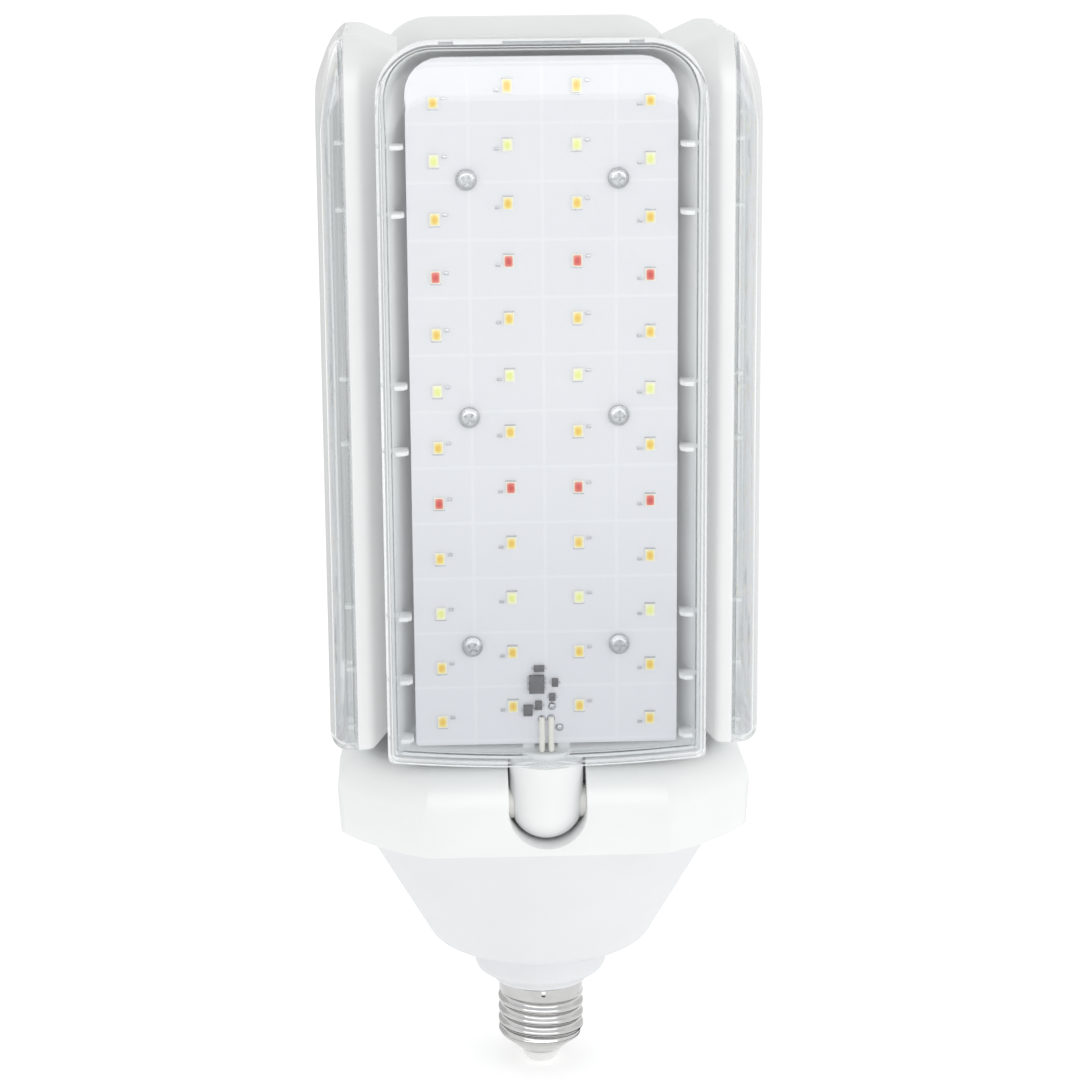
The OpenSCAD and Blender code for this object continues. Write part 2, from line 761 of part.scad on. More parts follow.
module panel_shell() {
    inner_bend_u = slope_u + (slant_wall(side_rate) - shell_wall) / side_rate;
    color("white") difference() {
        union() {
            difference() {
                panel_loft(SHELL_STEPS);
                panel_loft([
                    [floor_u, floor_inset(side_rate), floor_inset(top_rate)],
                    [inner_bend_u, shell_wall, shell_wall],
                    [rim_u + over, shell_wall, shell_wall]
                ]);
            }
            for (x = [-screw_x, screw_x]) for (dz = SCREW_ROWS)
                depth_bar(x, screw_z + dz, board_boss_r, floor_u - root, board_u0);
            for (x = [-foot_screw_x, foot_screw_x])
                depth_bar(x, foot_screw_z, foot_boss_r, floor_u - root, foot_u0);
            for (side = [-1, 1]) for (z = TAB_HEIGHTS) snap_tab(side, z);
        }
        for (x = [-screw_x, screw_x]) for (dz = SCREW_ROWS)
            depth_bar(x, screw_z + dz, small_screw_d / 2 + pin_gap, floor_u, board_u0 + over);
        for (x = [-foot_screw_x, foot_screw_x])
            depth_bar(x, foot_screw_z, small_screw_d / 2 + pin_gap, floor_u, foot_u0 + over);
        translate([0, -hinge_u, panel_z0 - over])
            cylinder(h = foot_z0 - panel_z0 + over, r = neck_hole_r);
        for (notch = RIM_NOTCHES)
            block([notch[0] - notch[1] / 2, rim_u - notch_depth, panel_z1 - shell_wall - over],
                  [notch[0] + notch[1] / 2, rim_u + over, panel_z1 + over]);
    }
}

// Notches in the upper rim: [middle, width]
RIM_NOTCHES = [[0, rim_notch_w], [-rim_slot_x, rim_slot_w], [rim_slot_x, rim_slot_w]];
TAB_HEIGHTS = concat(
    [for (dz = SCREW_ROWS) for (end = [-1, 1]) screw_z + dz + end * tab_half_gap],
    [panel_z0 + low_tab_z]
);

// Snap tab on the long wall: its root clears the cover's lip, its tip stands past the rim
module snap_tab(side, z) {
    wall_x = panel_w / 2 - shell_wall;
    tip_x0 = board_w / 2 + tab_board_gap;
    tip_x1 = wall_x - fit_gap - lip_t - run_gap;
    lip_u = rim_u - lip_h - run_gap;
    mirror([side < 0 ? 1 : 0, 0, 0]) {
        block([tip_x0, slope_u - tab_root_h, z - tab_t / 2], [wall_x + root, lip_u, z + tab_t / 2]);
        block([tip_x0, slope_u - tab_root_h, z - tab_t / 2], [tip_x1, rim_u + tab_rise, z + tab_t / 2]);
    }
}

STRAIGHT_STEPS = 3;
EDGE_STEPS = 5;
CROWN_POWER = 1.5;              // 1 would be a plain chamfer and 2 a quarter of an ellipse
// Fall of the cover's upper end at a rise above the rim, out of the cover's whole height
function crown(rise, height) =
    crown_drop * (1 - pow(1 - pow(min(rise / height, 1), CROWN_POWER), 1 / CROWN_POWER));
// Sections of the cover's outside, or of its inside at the wall's distance, from a rise on
function cover_steps(wall, from) =
    let (
        straight = cover_depth - cover_edge_r,
        r = cover_edge_r - wall,
        side = [for (k = [0:STRAIGHT_STEPS - 1])
            [from + (straight - from) * k / STRAIGHT_STEPS, wall]],
        edge = [for (k = [0:EDGE_STEPS]) let (a = 90 * k / EDGE_STEPS)
            [straight + r * sin(a), cover_edge_r - r * cos(a)]]
    )
    [for (s = concat(side, edge)) [rim_u + s[0], s[1], wall + crown(s[0], cover_depth - wall)]];

module clear_cover() {
    lip_out = shell_wall + fit_gap;
    lip_in = lip_out + lip_t;
    color("lightcyan", 0.35) difference() {
        union() {
            panel_loft(cover_steps(0, 0));
            panel_loft([[rim_u - lip_h, lip_out, lip_out], [rim_u + lip_t, lip_out, lip_out]]);
        }
        panel_loft(concat(
            [[rim_u - lip_h - over, lip_in, lip_in], [rim_u, lip_in, lip_in]],
            cover_steps(cover_wall, lip_t)
        ));
        translate([0, -hinge_u, panel_z0 - over])
            cylinder(h = 2 * cover_edge_r, r = neck_hole_r);
    }
}

board_corner_r = 10;
module light_board() {
    w = board_w / 2;
    r = board_corner_r;
    color("aliceblue") difference() {
        plate(board_u0, board_u1) {
            translate([-w, board_z0]) square([board_w, board_z1 - board_z0 - r]);
            translate([-w + r, board_z0]) square([board_w - 2 * r, board_z1 - board_z0]);
            for (x = [-w + r, w - r]) translate([x, board_z1 - r]) circle(r = r);
        }
        for (x = [-screw_x, screw_x]) for (dz = SCREW_ROWS)
            depth_bar(x, screw_z + dz, small_screw_d / 2 + run_gap,
                      board_u0 - over, board_u1 + over);
    }
}

// Lamp packages, red in two of the rows and white in the others
RED_ROWS = [3, 7];
function is_red(row) = len(search(row, RED_ROWS)) > 0;
module led_rows(red) {
    top_z = board_z1 - first_row_drop;
    for (row = [0:rows - 1]) if (is_red(row) == red) {
        z = top_z - row * row_pitch;
        for (x = [-outer_col_x, outer_col_x]) led(x, z);
        for (x = [-inner_col_x, inner_col_x]) led(x, z + inner_rise);
    }
}

module led(x, z) {
    block([x - led_w / 2, board_u1, z - led_h / 2],
          [x + led_w / 2, board_u1 + led_t, z + led_h / 2]);
}

module white_leds() {
    color("khaki") led_rows(false);
}

module red_leds() {
    color("tomato") led_rows(true);
}

module board_screws() {
    color("silver") for (x = [-screw_x, screw_x]) for (dz = SCREW_ROWS)
        translate([x, -board_u1, screw_z + dz]) rotate([90, 0, 0])
            cross_screw(small_screw_d, small_screw_l, small_head_d, small_head_h);
}

// Driver parts low on the board: [x, height above the board's edge, width, height, thickness]
CHIPS = [
    [-2.7, 17.7, 4.3, 5.2, 1.6], [-2, 22.2, 3, 1.8, 0.9], [2.5, 18, 1.8, 2.4, 0.8],
    [1.7, 13.7, 1.8, 2.2, 0.8], [-5.2, 10, 2.6, 3.2, 1.1], [-2.2, 11.4, 2, 2.6, 1]
];
module driver_chips() {
    color("dimgray") for (c = CHIPS)
        block([c[0] - c[2] / 2, board_u1, board_z0 + c[1] - c[3] / 2],
              [c[0] + c[2] / 2, board_u1 + c[4], board_z0 + c[1] + c[3] / 2]);
}

neck_rise = 1;                  // how far the full neck stands past the shell's wall
neck_top_z = panel_z0 + shell_wall + neck_rise;
wire_exit_turn = -135;          // the wire exit points down and inwards when upright

// Arm with a round end on the hinge, a neck into the panel and a screwed foot
module hinge_arm() {
    behind_board = board_u0 - run_gap;
    slope_tilt = atan(side_rate);
    color("white") difference() {
        union() {
            translate([0, -hinge_u, hinge_z]) sphere(r = arm_r);
            translate([0, -hinge_u, hinge_z]) cylinder(h = hinge_reach, r = arm_r);
            translate([0, -hinge_u, hinge_z]) cylinder(h = neck_top_z - hinge_z, r = neck_r);
            intersection() {
                translate([0, -hinge_u, panel_z0 - over])
                    cylinder(h = back_slope + over, r = arm_r);
                translate([0, -slope_u + fit_gap, panel_z0]) rotate([slope_tilt, 0, 0])
                    translate([-arm_r, 0, -back_slope * 2])
                        cube([arm_d, 3 * back_slope, back_slope * 2 - fit_gap]);
            }
            intersection() {
                translate([0, -hinge_u, hinge_z])
                    cylinder(h = foot_z0 + foot_h - hinge_z, r = neck_r);
                block([-neck_r, floor_u + fit_gap, panel_z0], [neck_r, behind_board, panel_z1]);
            }
            block([-foot_w / 2, foot_u0, foot_z0], [foot_w / 2, foot_u1, foot_z0 + foot_h]);
        }
        translate([0, -hinge_u, hinge_z]) cylinder(h = panel_h, r = wire_way_r);
        translate([0, -hinge_u, hinge_z]) sphere(r = wire_way_r);
        translate([0, -hinge_u, hinge_z]) rotate([wire_exit_turn, 0, 0])
            cylinder(h = arm_d, r = wire_exit_r);
        hinge_bar(pin_d / 2 + pin_gap, -arm_d, arm_d);
        for (side = [-1, 1]) {
            x = side * (washer_in_x - pin_gap);
            hinge_bar(washer_d / 2 + run_gap, min(x, side * arm_d), max(x, side * arm_d));
        }
        for (x = [-foot_screw_x, foot_screw_x])
            depth_bar(x, foot_screw_z, small_screw_d / 2 + run_gap,
                      foot_u0 - over, foot_u1 + over);
    }
}

arm_screw_l = foot_t + foot_lift;
module arm_screws() {
    color("silver") for (x = [-foot_screw_x, foot_screw_x])
        translate([x, -foot_u1, foot_screw_z]) rotate([90, 0, 0])
            cross_screw(small_screw_d, arm_screw_l, small_head_d, small_head_h);
}

// Two leads up the arm and round the board's lower edge to their solder ends
module panel_leads() {
    front_u = board_u1 + lead_d / 2 + fit_gap;
    cross_z = (neck_top_z + board_z0) / 2;
    color("ivory") for (x = [-lead_x, lead_x]) wire([
        [x, -hinge_u, hinge_z], [x, -hinge_u, cross_z], [x, -front_u, cross_z],
        [x, -front_u, board_z0 + lead_end_rise]
    ], lead_d, [1, 0, 0]);
}

screw_shell();
cap_insulator();
centre_contact();
cone_housing();
lower_collar();
upper_collar();
collar_screws();
hinge_pins();
friction_washers();
junction_board();
fuse_resistor();
terminal_block();
live_wire();
neutral_wire();
hub_leads();
at_side(FRONT) panel_shell();  // front_shell
at_side(FRONT) clear_cover();  // front_clear_cover
at_side(FRONT) light_board();  // front_light_board
at_side(FRONT) white_leds();  // front_white_leds
at_side(FRONT) red_leds();  // front_red_leds
at_side(FRONT) board_screws();  // front_board_screws
at_side(FRONT) driver_chips();  // front_driver_chips
at_side(FRONT) hinge_arm();  // front_hinge_arm
at_side(FRONT) arm_screws();  // front_arm_screws
at_side(FRONT) panel_leads();  // front_leads
at_side(RIGHT) panel_shell();  // right_shell
at_side(RIGHT) clear_cover();  // right_clear_cover
at_side(RIGHT) light_board();  // right_light_board
at_side(RIGHT) white_leds();  // right_white_leds
at_side(RIGHT) red_leds();  // right_red_leds
at_side(RIGHT) board_screws();  // right_board_screws
at_side(RIGHT) driver_chips();  // right_driver_chips
at_side(RIGHT) hinge_arm();  // right_hinge_arm
at_side(RIGHT) arm_screws();  // right_arm_screws
at_side(RIGHT) panel_leads();  // right_leads
at_side(BACK) panel_shell();  // back_shell
at_side(BACK) clear_cover();  // back_clear_cover
at_side(BACK) light_board();  // back_light_board
at_side(BACK) white_leds();  // back_white_leds
at_side(BACK) red_leds();  // back_red_leds
at_side(BACK) board_screws();  // back_board_screws
at_side(BACK) driver_chips();  // back_driver_chips
at_side(BACK) hinge_arm();  // back_hinge_arm
at_side(BACK) arm_screws();  // back_arm_screws
at_side(BACK) panel_leads();  // back_leads
at_side(LEFT) panel_shell();  // left_shell
at_side(LEFT) clear_cover();  // left_clear_cover
at_side(LEFT) light_board();  // left_light_board
at_side(LEFT) white_leds();  // left_white_leds
at_side(LEFT) red_leds();  // left_red_leds
at_side(LEFT) board_screws();  // left_board_screws
at_side(LEFT) driver_chips();  // left_driver_chips
at_side(LEFT) hinge_arm();  // left_hinge_arm
at_side(LEFT) arm_screws();  // left_arm_screws
at_side(LEFT) panel_leads();  // left_leads
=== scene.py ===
"""Folding screw-in garage light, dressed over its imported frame.

The lamp stands on its cap. Each of its four panels is made once, at the front, and turned
about the axis for the other sides. Sizes are in millimetres until a mesh is written.
"""

from __future__ import annotations

import logging
import math
from collections.abc import Callable, Iterable, Iterator, Sequence
from contextlib import contextmanager
from dataclasses import dataclass, field
from enum import Enum
from functools import partial
from typing import Any

import bmesh
import bpy
from mathutils import Matrix, Vector


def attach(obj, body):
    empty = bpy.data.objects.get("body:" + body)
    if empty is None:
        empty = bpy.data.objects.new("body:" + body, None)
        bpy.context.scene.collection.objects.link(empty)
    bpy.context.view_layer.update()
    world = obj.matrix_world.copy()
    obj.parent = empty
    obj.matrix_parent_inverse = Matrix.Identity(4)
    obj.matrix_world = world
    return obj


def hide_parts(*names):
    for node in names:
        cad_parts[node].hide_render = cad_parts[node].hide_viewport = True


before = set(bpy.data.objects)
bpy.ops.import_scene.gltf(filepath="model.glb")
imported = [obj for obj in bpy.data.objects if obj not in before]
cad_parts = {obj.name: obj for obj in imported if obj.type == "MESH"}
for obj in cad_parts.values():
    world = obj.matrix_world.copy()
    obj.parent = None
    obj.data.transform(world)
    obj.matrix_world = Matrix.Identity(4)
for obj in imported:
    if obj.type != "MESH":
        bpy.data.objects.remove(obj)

LOG = logging.getLogger("garage_light")
MM = 0.001
Point = tuple[float, float]
Section = tuple[float, float, float]
Ring = Sequence[tuple[float, float, float]]


class Side(Enum):
    """The four sides of the lamp, each with the turn about Z that takes the front there."""

    FRONT = ("front", 0.0)
    RIGHT = ("right", 90.0)
    BACK = ("back", 180.0)
    LEFT = ("left", 270.0)

    @property
    def word(self) -> str:
        """The side's name, as its nodes and body start with."""
        return self.value[0]

    @property
    def turn(self) -> Matrix:
        """The turn about Z that takes a front piece to this side."""
        return Matrix.Rotation(math.radians(self.value[1]), 4, "Z")


class Lamp(Enum):
    """The kinds of lamp package on a board."""

    WARM = "warm"
    COOL = "cool"
    RED = "red"


# ---------------------------------------------------------------- finishes


def linear(hex_colour: str) -> tuple[float, float, float, float]:
    """Turns an sRGB hex colour into linear RGBA.

    Args:
        hex_colour: Six hex digits with a leading hash.

    Returns:
        The linear colour with alpha 1.
    """
    parts = [int(hex_colour[k : k + 2], 16) / 255 for k in (1, 3, 5)]
    out = [c / 12.92 if c <= 0.04045 else ((c + 0.055) / 1.055) ** 2.4 for c in parts]
    return (out[0], out[1], out[2], 1.0)


def add_node(
    tree: bpy.types.NodeTree, kind: str, feeds: dict[str | int, Any] | None = None, **settings: Any
) -> Any:
    """Adds one node to a tree.

    Args:
        tree: The tree.
        kind: The node's Blender type name.
        feeds: For each input its value, the socket that feeds it, or a list of such sockets.
        settings: Properties of the node itself.

    Returns:
        The node's outputs.
    """
    node = tree.nodes.new(kind)
    for name, value in settings.items():
        setattr(node, name, value)
    for name, feed in (feeds or {}).items():
        for one in feed if isinstance(feed, list) else [feed]:
            if isinstance(one, bpy.types.NodeSocket):
                tree.links.new(one, node.inputs[name])
            else:
                node.inputs[name].default_value = one
    return node.outputs


def new_material(name: str) -> tuple[bpy.types.Material, Callable[..., Any]]:
    """Makes an empty material.

    Args:
        name: The material's name.

    Returns:
        The material and the function that adds nodes to it.
    """
    material = bpy.data.materials.new(name)
    material.use_nodes = True
    material.node_tree.nodes.clear()
    return material, partial(add_node, material.node_tree)


@dataclass(frozen=True)
class Mottled:
    """A solid finish whose colour and roughness wander a little, with a fine surface grain.

    Attributes:
        name: The real material's name.
        light: Colour of the lighter places.
        dark: Colour of the darker places.
        cloud_mm: Size of the colour's wandering.
        grain_mm: Size of the surface grain.
        bump_mm: Height of the grain.
        smooth: Roughness of the smoothest places.
        rough: Roughness of the roughest places.
        metallic: Metallic share.
        ior: Index of refraction, for what isn't metal.
        coat: Weight of a clear coat.
        stretch: Scale of the grain along each axis, for drawn or brushed surfaces.
    """

    name: str
    light: str
    dark: str
    cloud_mm: float = 18.0
    grain_mm: float = 0.5
    bump_mm: float = 0.01
    smooth: float = 0.3
    rough: float = 0.42
    metallic: float = 0.0
    ior: float = 1.5
    coat: float = 0.0
    stretch: tuple[float, float, float] = (1.0, 1.0, 1.0)

    def make(self) -> bpy.types.Material:
        """Builds the material."""
        material, add = new_material(self.name)
        place = add("ShaderNodeTexCoord")["Object"]
        laid = add("ShaderNodeMapping", {"Scale": self.stretch, "Vector": place})["Vector"]
        cloud, grain = (
            add("ShaderNodeTexNoise", {
                "Scale": 1 / (cell_mm * MM), "Detail": detail, "Roughness": rough, "Vector": spot,
            })["Fac"]
            for cell_mm, detail, rough, spot in (
                (self.cloud_mm, 3.0, 0.55, place), (self.grain_mm, 2.0, 0.6, laid))
        )
        colour = add("ShaderNodeMix", {0: cloud, 6: linear(self.dark), 7: linear(self.light)},
                     data_type="RGBA")[2]
        rough = add("ShaderNodeMapRange", {
            "Value": grain, "From Min": 0.3, "From Max": 0.7,
            "To Min": self.smooth, "To Max": self.rough,
        })["Result"]
        bump = add("ShaderNodeBump", {
            "Height": grain, "Strength": 0.35, "Distance": self.bump_mm * MM,
        })["Normal"]
        feeds = {"Base Color": colour, "Roughness": rough, "Normal": bump, "Metallic": self.metallic}
        if self.metallic < 0.5:
            feeds["IOR"] = self.ior
        if self.coat > 0:
            feeds |= {"Coat Weight": self.coat, "Coat Roughness": 0.08}
        shader = add("ShaderNodeBsdfPrincipled", feeds)["BSDF"]
        add("ShaderNodeOutputMaterial", {"Surface": shader})
        return material


@dataclass(frozen=True)
class ClearMoulding:
    """Polished clear polycarbonate, hazier towards its foot, with painted shade and darker painted streaks on
    its long side walls.

    Attributes:
        name: The real material's name.
        tint: Colour that its face passes where it is clear.
        foot_tint: Colour that its face passes where it is hazy.
        side_tint: Colour that its long side walls pass, a grey that paints the shade on those walls.
        streak_tint: Colour of the darker streaks in those walls, painted shade.
        clear_z_mm: Height where the haze starts.
        hazy_z_mm: Height where it is full.
        haze: Roughness at the hazy end.
        polish: Roughness at the clear end.
        streak_mm: Width of a painted shade streak.
        ripple_mm: Length of the faces' faint ripple.
        turns: Rays that have met more walls than this leave the thin wall straight.
    """

    name: str = "polycarbonate, clear polished moulding"
    tint: str = "#FFFFFF"
    foot_tint: str = "#F0F1F3"
    side_tint: str = "#EDEFEF"
    streak_tint: str = "#D5D9DA"
    clear_z_mm: float = 210.0
    hazy_z_mm: float = 90.0
    haze: float = 0.07
    polish: float = 0.015
    streak_mm: float = 1.1
    ripple_mm: float = 22.0
    turns: float = 3.5

    def make(self) -> bpy.types.Material:
        """Builds the material. Lamps shine through it, so the board behind is lit."""
        material, add = new_material(self.name)
        place = add("ShaderNodeTexCoord")["Object"]
        height = add("ShaderNodeSeparateXYZ", {"Vector": place})["Z"]
        clear = add("ShaderNodeMapRange", {
            "Value": height, "From Min": self.hazy_z_mm * MM, "From Max": self.clear_z_mm * MM,
        }, interpolation_type="SMOOTHSTEP")["Result"]
        rough = add("ShaderNodeMapRange", {
            "Value": clear, "To Min": self.haze, "To Max": self.polish,
        })["Result"]
        laid = add("ShaderNodeMapping", {"Scale": (1.0, 1.0, 0.02), "Vector": place})["Vector"]
        streak, ripple = (
            add("ShaderNodeTexNoise", {
                "Scale": 1 / (cell_mm * MM), "Detail": detail, "Vector": spot,
            })["Fac"]
            for cell_mm, detail, spot in ((self.streak_mm, 2.0, laid), (self.ripple_mm, 1.0, place))
        )
        streak_shade = add("ShaderNodeMapRange", {
            "Value": streak, "From Min": 0.45, "From Max": 0.72,
        })["Result"]
        # The long side walls get a painted grey shade, with darker painted streaks in it.
        face, wall = (
            add("ShaderNodeMix", {0: share, 6: linear(low), 7: linear(high)}, data_type="RGBA")[2]
            for share, low, high in (
                (clear, self.foot_tint, self.tint), (streak_shade, self.side_tint, self.streak_tint))
        )
        on_side = add("ShaderNodeAttribute", attribute_name=SIDE_SHADE_MARK)["Fac"]
        passed = add("ShaderNodeMix", {0: on_side, 6: face, 7: wall}, data_type="RGBA")[2]
        bump = add("ShaderNodeBump", {
            "Height": ripple, "Strength": 0.12, "Distance": 0.06 * MM,
        })["Normal"]
        glass = add("ShaderNodeBsdfPrincipled", {
            "Transmission Weight": 1.0, "IOR": 1.49,
            "Base Color": passed, "Roughness": rough, "Normal": bump,
        })["BSDF"]
        through = add("ShaderNodeBsdfTransparent", {"Color": linear("#FCFDFD")})["BSDF"]
        rays = add("ShaderNodeLightPath")
        # Light caught inside the thin wall leaves it after a few turns, so no edge goes black.
        lets_by = add("ShaderNodeMath", {0: rays["Ray Depth"], 1: self.turns},
                      operation="GREATER_THAN")[0]
        for ray in ("Is Shadow Ray", "Is Diffuse Ray"):
            lets_by = add("ShaderNodeMath", {0: lets_by, 1: rays[ray]}, operation="MAXIMUM")[0]
        both = add("ShaderNodeMixShader", {0: lets_by, 1: glass, 2: through})[0]
        add("ShaderNodeOutputMaterial", {"Surface": both})
        return material


@dataclass(frozen=True)
class SolderMask:
    """White solder mask over copper panes, with the gaps between them a little paler.

    Attributes:
        name: The real material's name.
        mask: Colour over the copper.
        track: Colour over the gaps.
        pane_w_mm: Width of one pane of copper.
        pane_h_mm: Height of one pane of copper.
        gap_mm: Width of the gap between panes.
    """

    name: str = "white solder mask on aluminium board"
    mask: str = "#E3E4E9"
    track: str = "#EBECF0"
    pane_w_mm: float = 20.0
    pane_h_mm: float = 15.83
    gap_mm: float = 0.6

    def make(self) -> bpy.types.Material:
        """Builds the material on the board's own flat map, which is in metres."""
        material, add = new_material(self.name)
        flat = add("ShaderNodeUVMap", uv_map=BOARD_MAP)["UV"]
        panes = add("ShaderNodeTexBrick", {
            "Color1": (0, 0, 0, 1), "Color2": (0.25, 0.25, 0.25, 1), "Mortar": (1, 1, 1, 1),
            "Scale": 1.0, "Mortar Size": self.gap_mm * MM, "Mortar Smooth": 0.6,
            "Brick Width": self.pane_w_mm * MM, "Row Height": self.pane_h_mm * MM, "Vector": flat,
        }, offset=0.0, squash=1.0)["Color"]
        place = add("ShaderNodeTexCoord")["Object"]
        cloud = add("ShaderNodeTexNoise", {
            "Scale": 1 / (26 * MM), "Detail": 2.0, "Vector": place,
        })["Fac"]
        share = add("ShaderNodeMix", {0: 0.3, 2: panes, 3: cloud}, data_type="FLOAT")[0]
        colour = add("ShaderNodeMix", {0: share, 6: linear(self.mask), 7: linear(self.track)},
                     data_type="RGBA")[2]
        bump = add("ShaderNodeBump", {
            "Height": panes, "Strength": 0.08, "Distance": -0.03 * MM,
        })["Normal"]
        shader = add("ShaderNodeBsdfPrincipled", {
            "Roughness": 0.38, "IOR": 1.5, "Base Color": colour, "Normal": bump,
        })["BSDF"]
        add("ShaderNodeOutputMaterial", {"Surface": shader})
        return material


@dataclass(frozen=True)
class Phosphor:
    """A lamp's phosphor under clear silicone: deeper in its middle, paler at its edge.

    Attributes:
        name: The real material's name.
        middle: Colour at the middle of the package.
        edge: Colour at its edge.
    """

    name: str
    middle: str
    edge: str

    def make(self) -> bpy.types.Material:
        """Builds the material on the package's own map, whose middle is at 0.5, 0.5."""
        material, add = new_material(self.name)
        spot = add("ShaderNodeUVMap", uv_map=LAMP_MAP)["UV"]
        away = add("ShaderNodeVectorMath", {0: spot, 1: (0.5, 0.5, 0.0)},
                   operation="DISTANCE")["Value"]
        share = add("ShaderNodeMapRange", {
            "Value": away, "From Min": 0.15, "From Max": 0.62,
        }, interpolation_type="SMOOTHSTEP")["Result"]
        colour = add("ShaderNodeMix", {0: share, 6: linear(self.middle), 7: linear(self.edge)},
                     data_type="RGBA")[2]
        shader = add("ShaderNodeBsdfPrincipled", {
            "Roughness": 0.3, "IOR": 1.41, "Coat Weight": 0.3, "Coat Roughness": 0.1,
            "Base Color": colour,
        })["BSDF"]
        add("ShaderNodeOutputMaterial", {"Surface": shader})
        return material


Finish = Mottled | ClearMoulding | SolderMask | Phosphor
BOARD_MAP = "flat"
LAMP_MAP = "package"
SIDE_SHADE_MARK = "side_wall"


@dataclass
class Finishes:
    """Every finish of the lamp, each made once."""

    made: dict[str, bpy.types.Material] = field(default_factory=dict)

    def get(self, finish: Finish) -> bpy.types.Material:
        """The material of a finish, built on its first use."""
        if finish.name not in self.made:
            self.made[finish.name] = finish.make()
        return self.made[finish.name]


# Satin ABS from a polished tool: a soft sheen with hardly any grain.
WHITE_ABS = Mottled(
    "ABS, satin white moulding", "#F6F7F7", "#F1F3F3", smooth=0.34, rough=0.42, ior=1.52
)
# Flame-retardant PBT: greyer and duller than the ABS above it, from a spark-eroded tool.
CONE_PBT = Mottled(
    "PBT, matt white moulding", "#EAEBED", "#E4E6E8", smooth=0.46, rough=0.58, bump_mm=0.02
)
# Bright nickel on thin rolled brass: a mirror with faint roller lines around it.
NICKEL = Mottled(
    "nickel plate, rolled", "#D2D2D1", "#C0C0BF", 6.0, 0.35, 0.006, 0.08, 0.17, 1.0,
    stretch=(0.15, 0.15, 1.0),
)
# Zinc on steel: pale grey with a dull sparkle.
ZINC = Mottled("zinc plated steel", "#C9CBCD", "#A3A6A9", 1.6, 0.25, 0.01, 0.24, 0.4, 1.0)
# Opal glass: white all through, with a wet shine.
OPAL = Mottled("opal glass", "#F3F3F1", "#ECECE9", smooth=0.12, rough=0.2, ior=1.52, coat=0.3)
# Stamped brass: yellow, with a dulled shine.
BRASS = Mottled("brass, stamped", "#C9A55B", "#A9853F", 2.0, 0.3, 0.01, 0.25, 0.4, 1.0)
# Green mask over glass cloth: deep green with a slow mottle.
GREEN_MASK = Mottled("green solder mask on glass fibre", "#2A6B43", "#1F5536", 5.0, 0.4)
# Moulded epoxy: a dark grey that hardly shines.
EPOXY = Mottled("black moulded epoxy", "#5A5A5E", "#46464A", 1.0, 0.15, 0.01, 0.4, 0.55)
# Tin that has flowed: bright and a little wavy.
TIN = Mottled("tin solder, reflowed", "#BFC1C4", "#9EA0A5", 0.9, 0.2, 0.03, 0.22, 0.4, 1.0)
# Insulation: pale silicone is soft and dull, red and blue PVC are smoother.
CREAM = Mottled("silicone insulation, pale", "#F4F2EB", "#EAE7DD", 2.0, 0.4, 0.01, 0.4, 0.5)
RED_PVC = Mottled("PVC insulation, red", "#B8261F", "#9C1D18", 4.0, 0.4, 0.01, 0.35, 0.45)
BLUE_PVC = Mottled("PVC insulation, blue", "#2A4FA8", "#203F8C", 4.0, 0.4, 0.01, 0.35, 0.45)
# Cement round the fuse resistor: a chalky green.
CEMENT = Mottled("flameproof cement coating", "#4C8566", "#3C6E53", 1.5, 0.2, 0.03, 0.6, 0.75)
# Natural nylon: a warm white with a waxy sheen.
NYLON = Mottled("nylon, natural", "#F5F5F2", "#EEEEEA", 4.0, 0.4, 0.01, 0.35, 0.45)
# White reflector frame of a lamp package.
REFLECTOR = Mottled("PCT reflector frame", "#F6F3E6", "#EFEBDA", 1.5, 0.3, 0.005, 0.35, 0.45)
# What fills the frames: yellow, pale green-yellow and red under a clear, shiny skin.
PHOSPHOR = {
    Lamp.WARM: Phosphor("warm phosphor in silicone", "#F2C636", "#FAEDA0"),
    Lamp.COOL: Phosphor("cool phosphor in silicone", "#EDF38C", "#F9FCD4"),
    Lamp.RED: Phosphor("red die in silicone", "#D62D22", "#EE8B78"),
}
CLEAR = ClearMoulding()
MASK = SolderMask()


# ---------------------------------------------------------------- mesh tools


def rounded(points: Sequence[Point], radii: Sequence[float], steps: int = 4) -> list[Point]:
    """Rounds the inner corners of an open line of points.

    Args:
        points: The line's corners.
        radii: A radius for each corner, 0 to leave it sharp. The ends' radii aren't used.
        steps: Segments in each rounding.

    Returns:
        The points of the rounded line.
    """
    out: list[Point] = [points[0]]
    for k in range(1, len(points) - 1):
        here = Vector(points[k])
        back = Vector(points[k - 1]) - here
        ahead = Vector(points[k + 1]) - here
        turn = back.angle(ahead)
        if radii[k] <= 0 or turn > math.pi - 0.02:
            out.append(points[k])
            continue
        reach = min(radii[k] / math.tan(turn / 2), back.length * 0.48, ahead.length * 0.48)
        radius = reach * math.tan(turn / 2)
        centre = here + (back.normalized() + ahead.normalized()).normalized() * (
            radius / math.sin(turn / 2)
        )
        start = here + back.normalized() * reach - centre
        end = here + ahead.normalized() * reach - centre
        for j in range(steps + 1):
            out.append(tuple(centre + start.slerp(end, j / steps).normalized() * radius))
    out.append(points[-1])
    return out


def quarter(x: float, z: float, r: float, start_deg: float, steps: int) -> list[Point]:
    """A quarter of a circle.

    Args:
        x: X of its middle.
        z: Z of its middle.
        r: Its radius.
        start_deg: Angle where it starts, from X towards Z.
        steps: Segments in it.

    Returns:
        Its points, both ends with them.
    """
    turns = [math.radians(start_deg + 90 * k / steps) for k in range(steps + 1)]
    return [(x + r * math.cos(a), z + r * math.sin(a)) for a in turns]


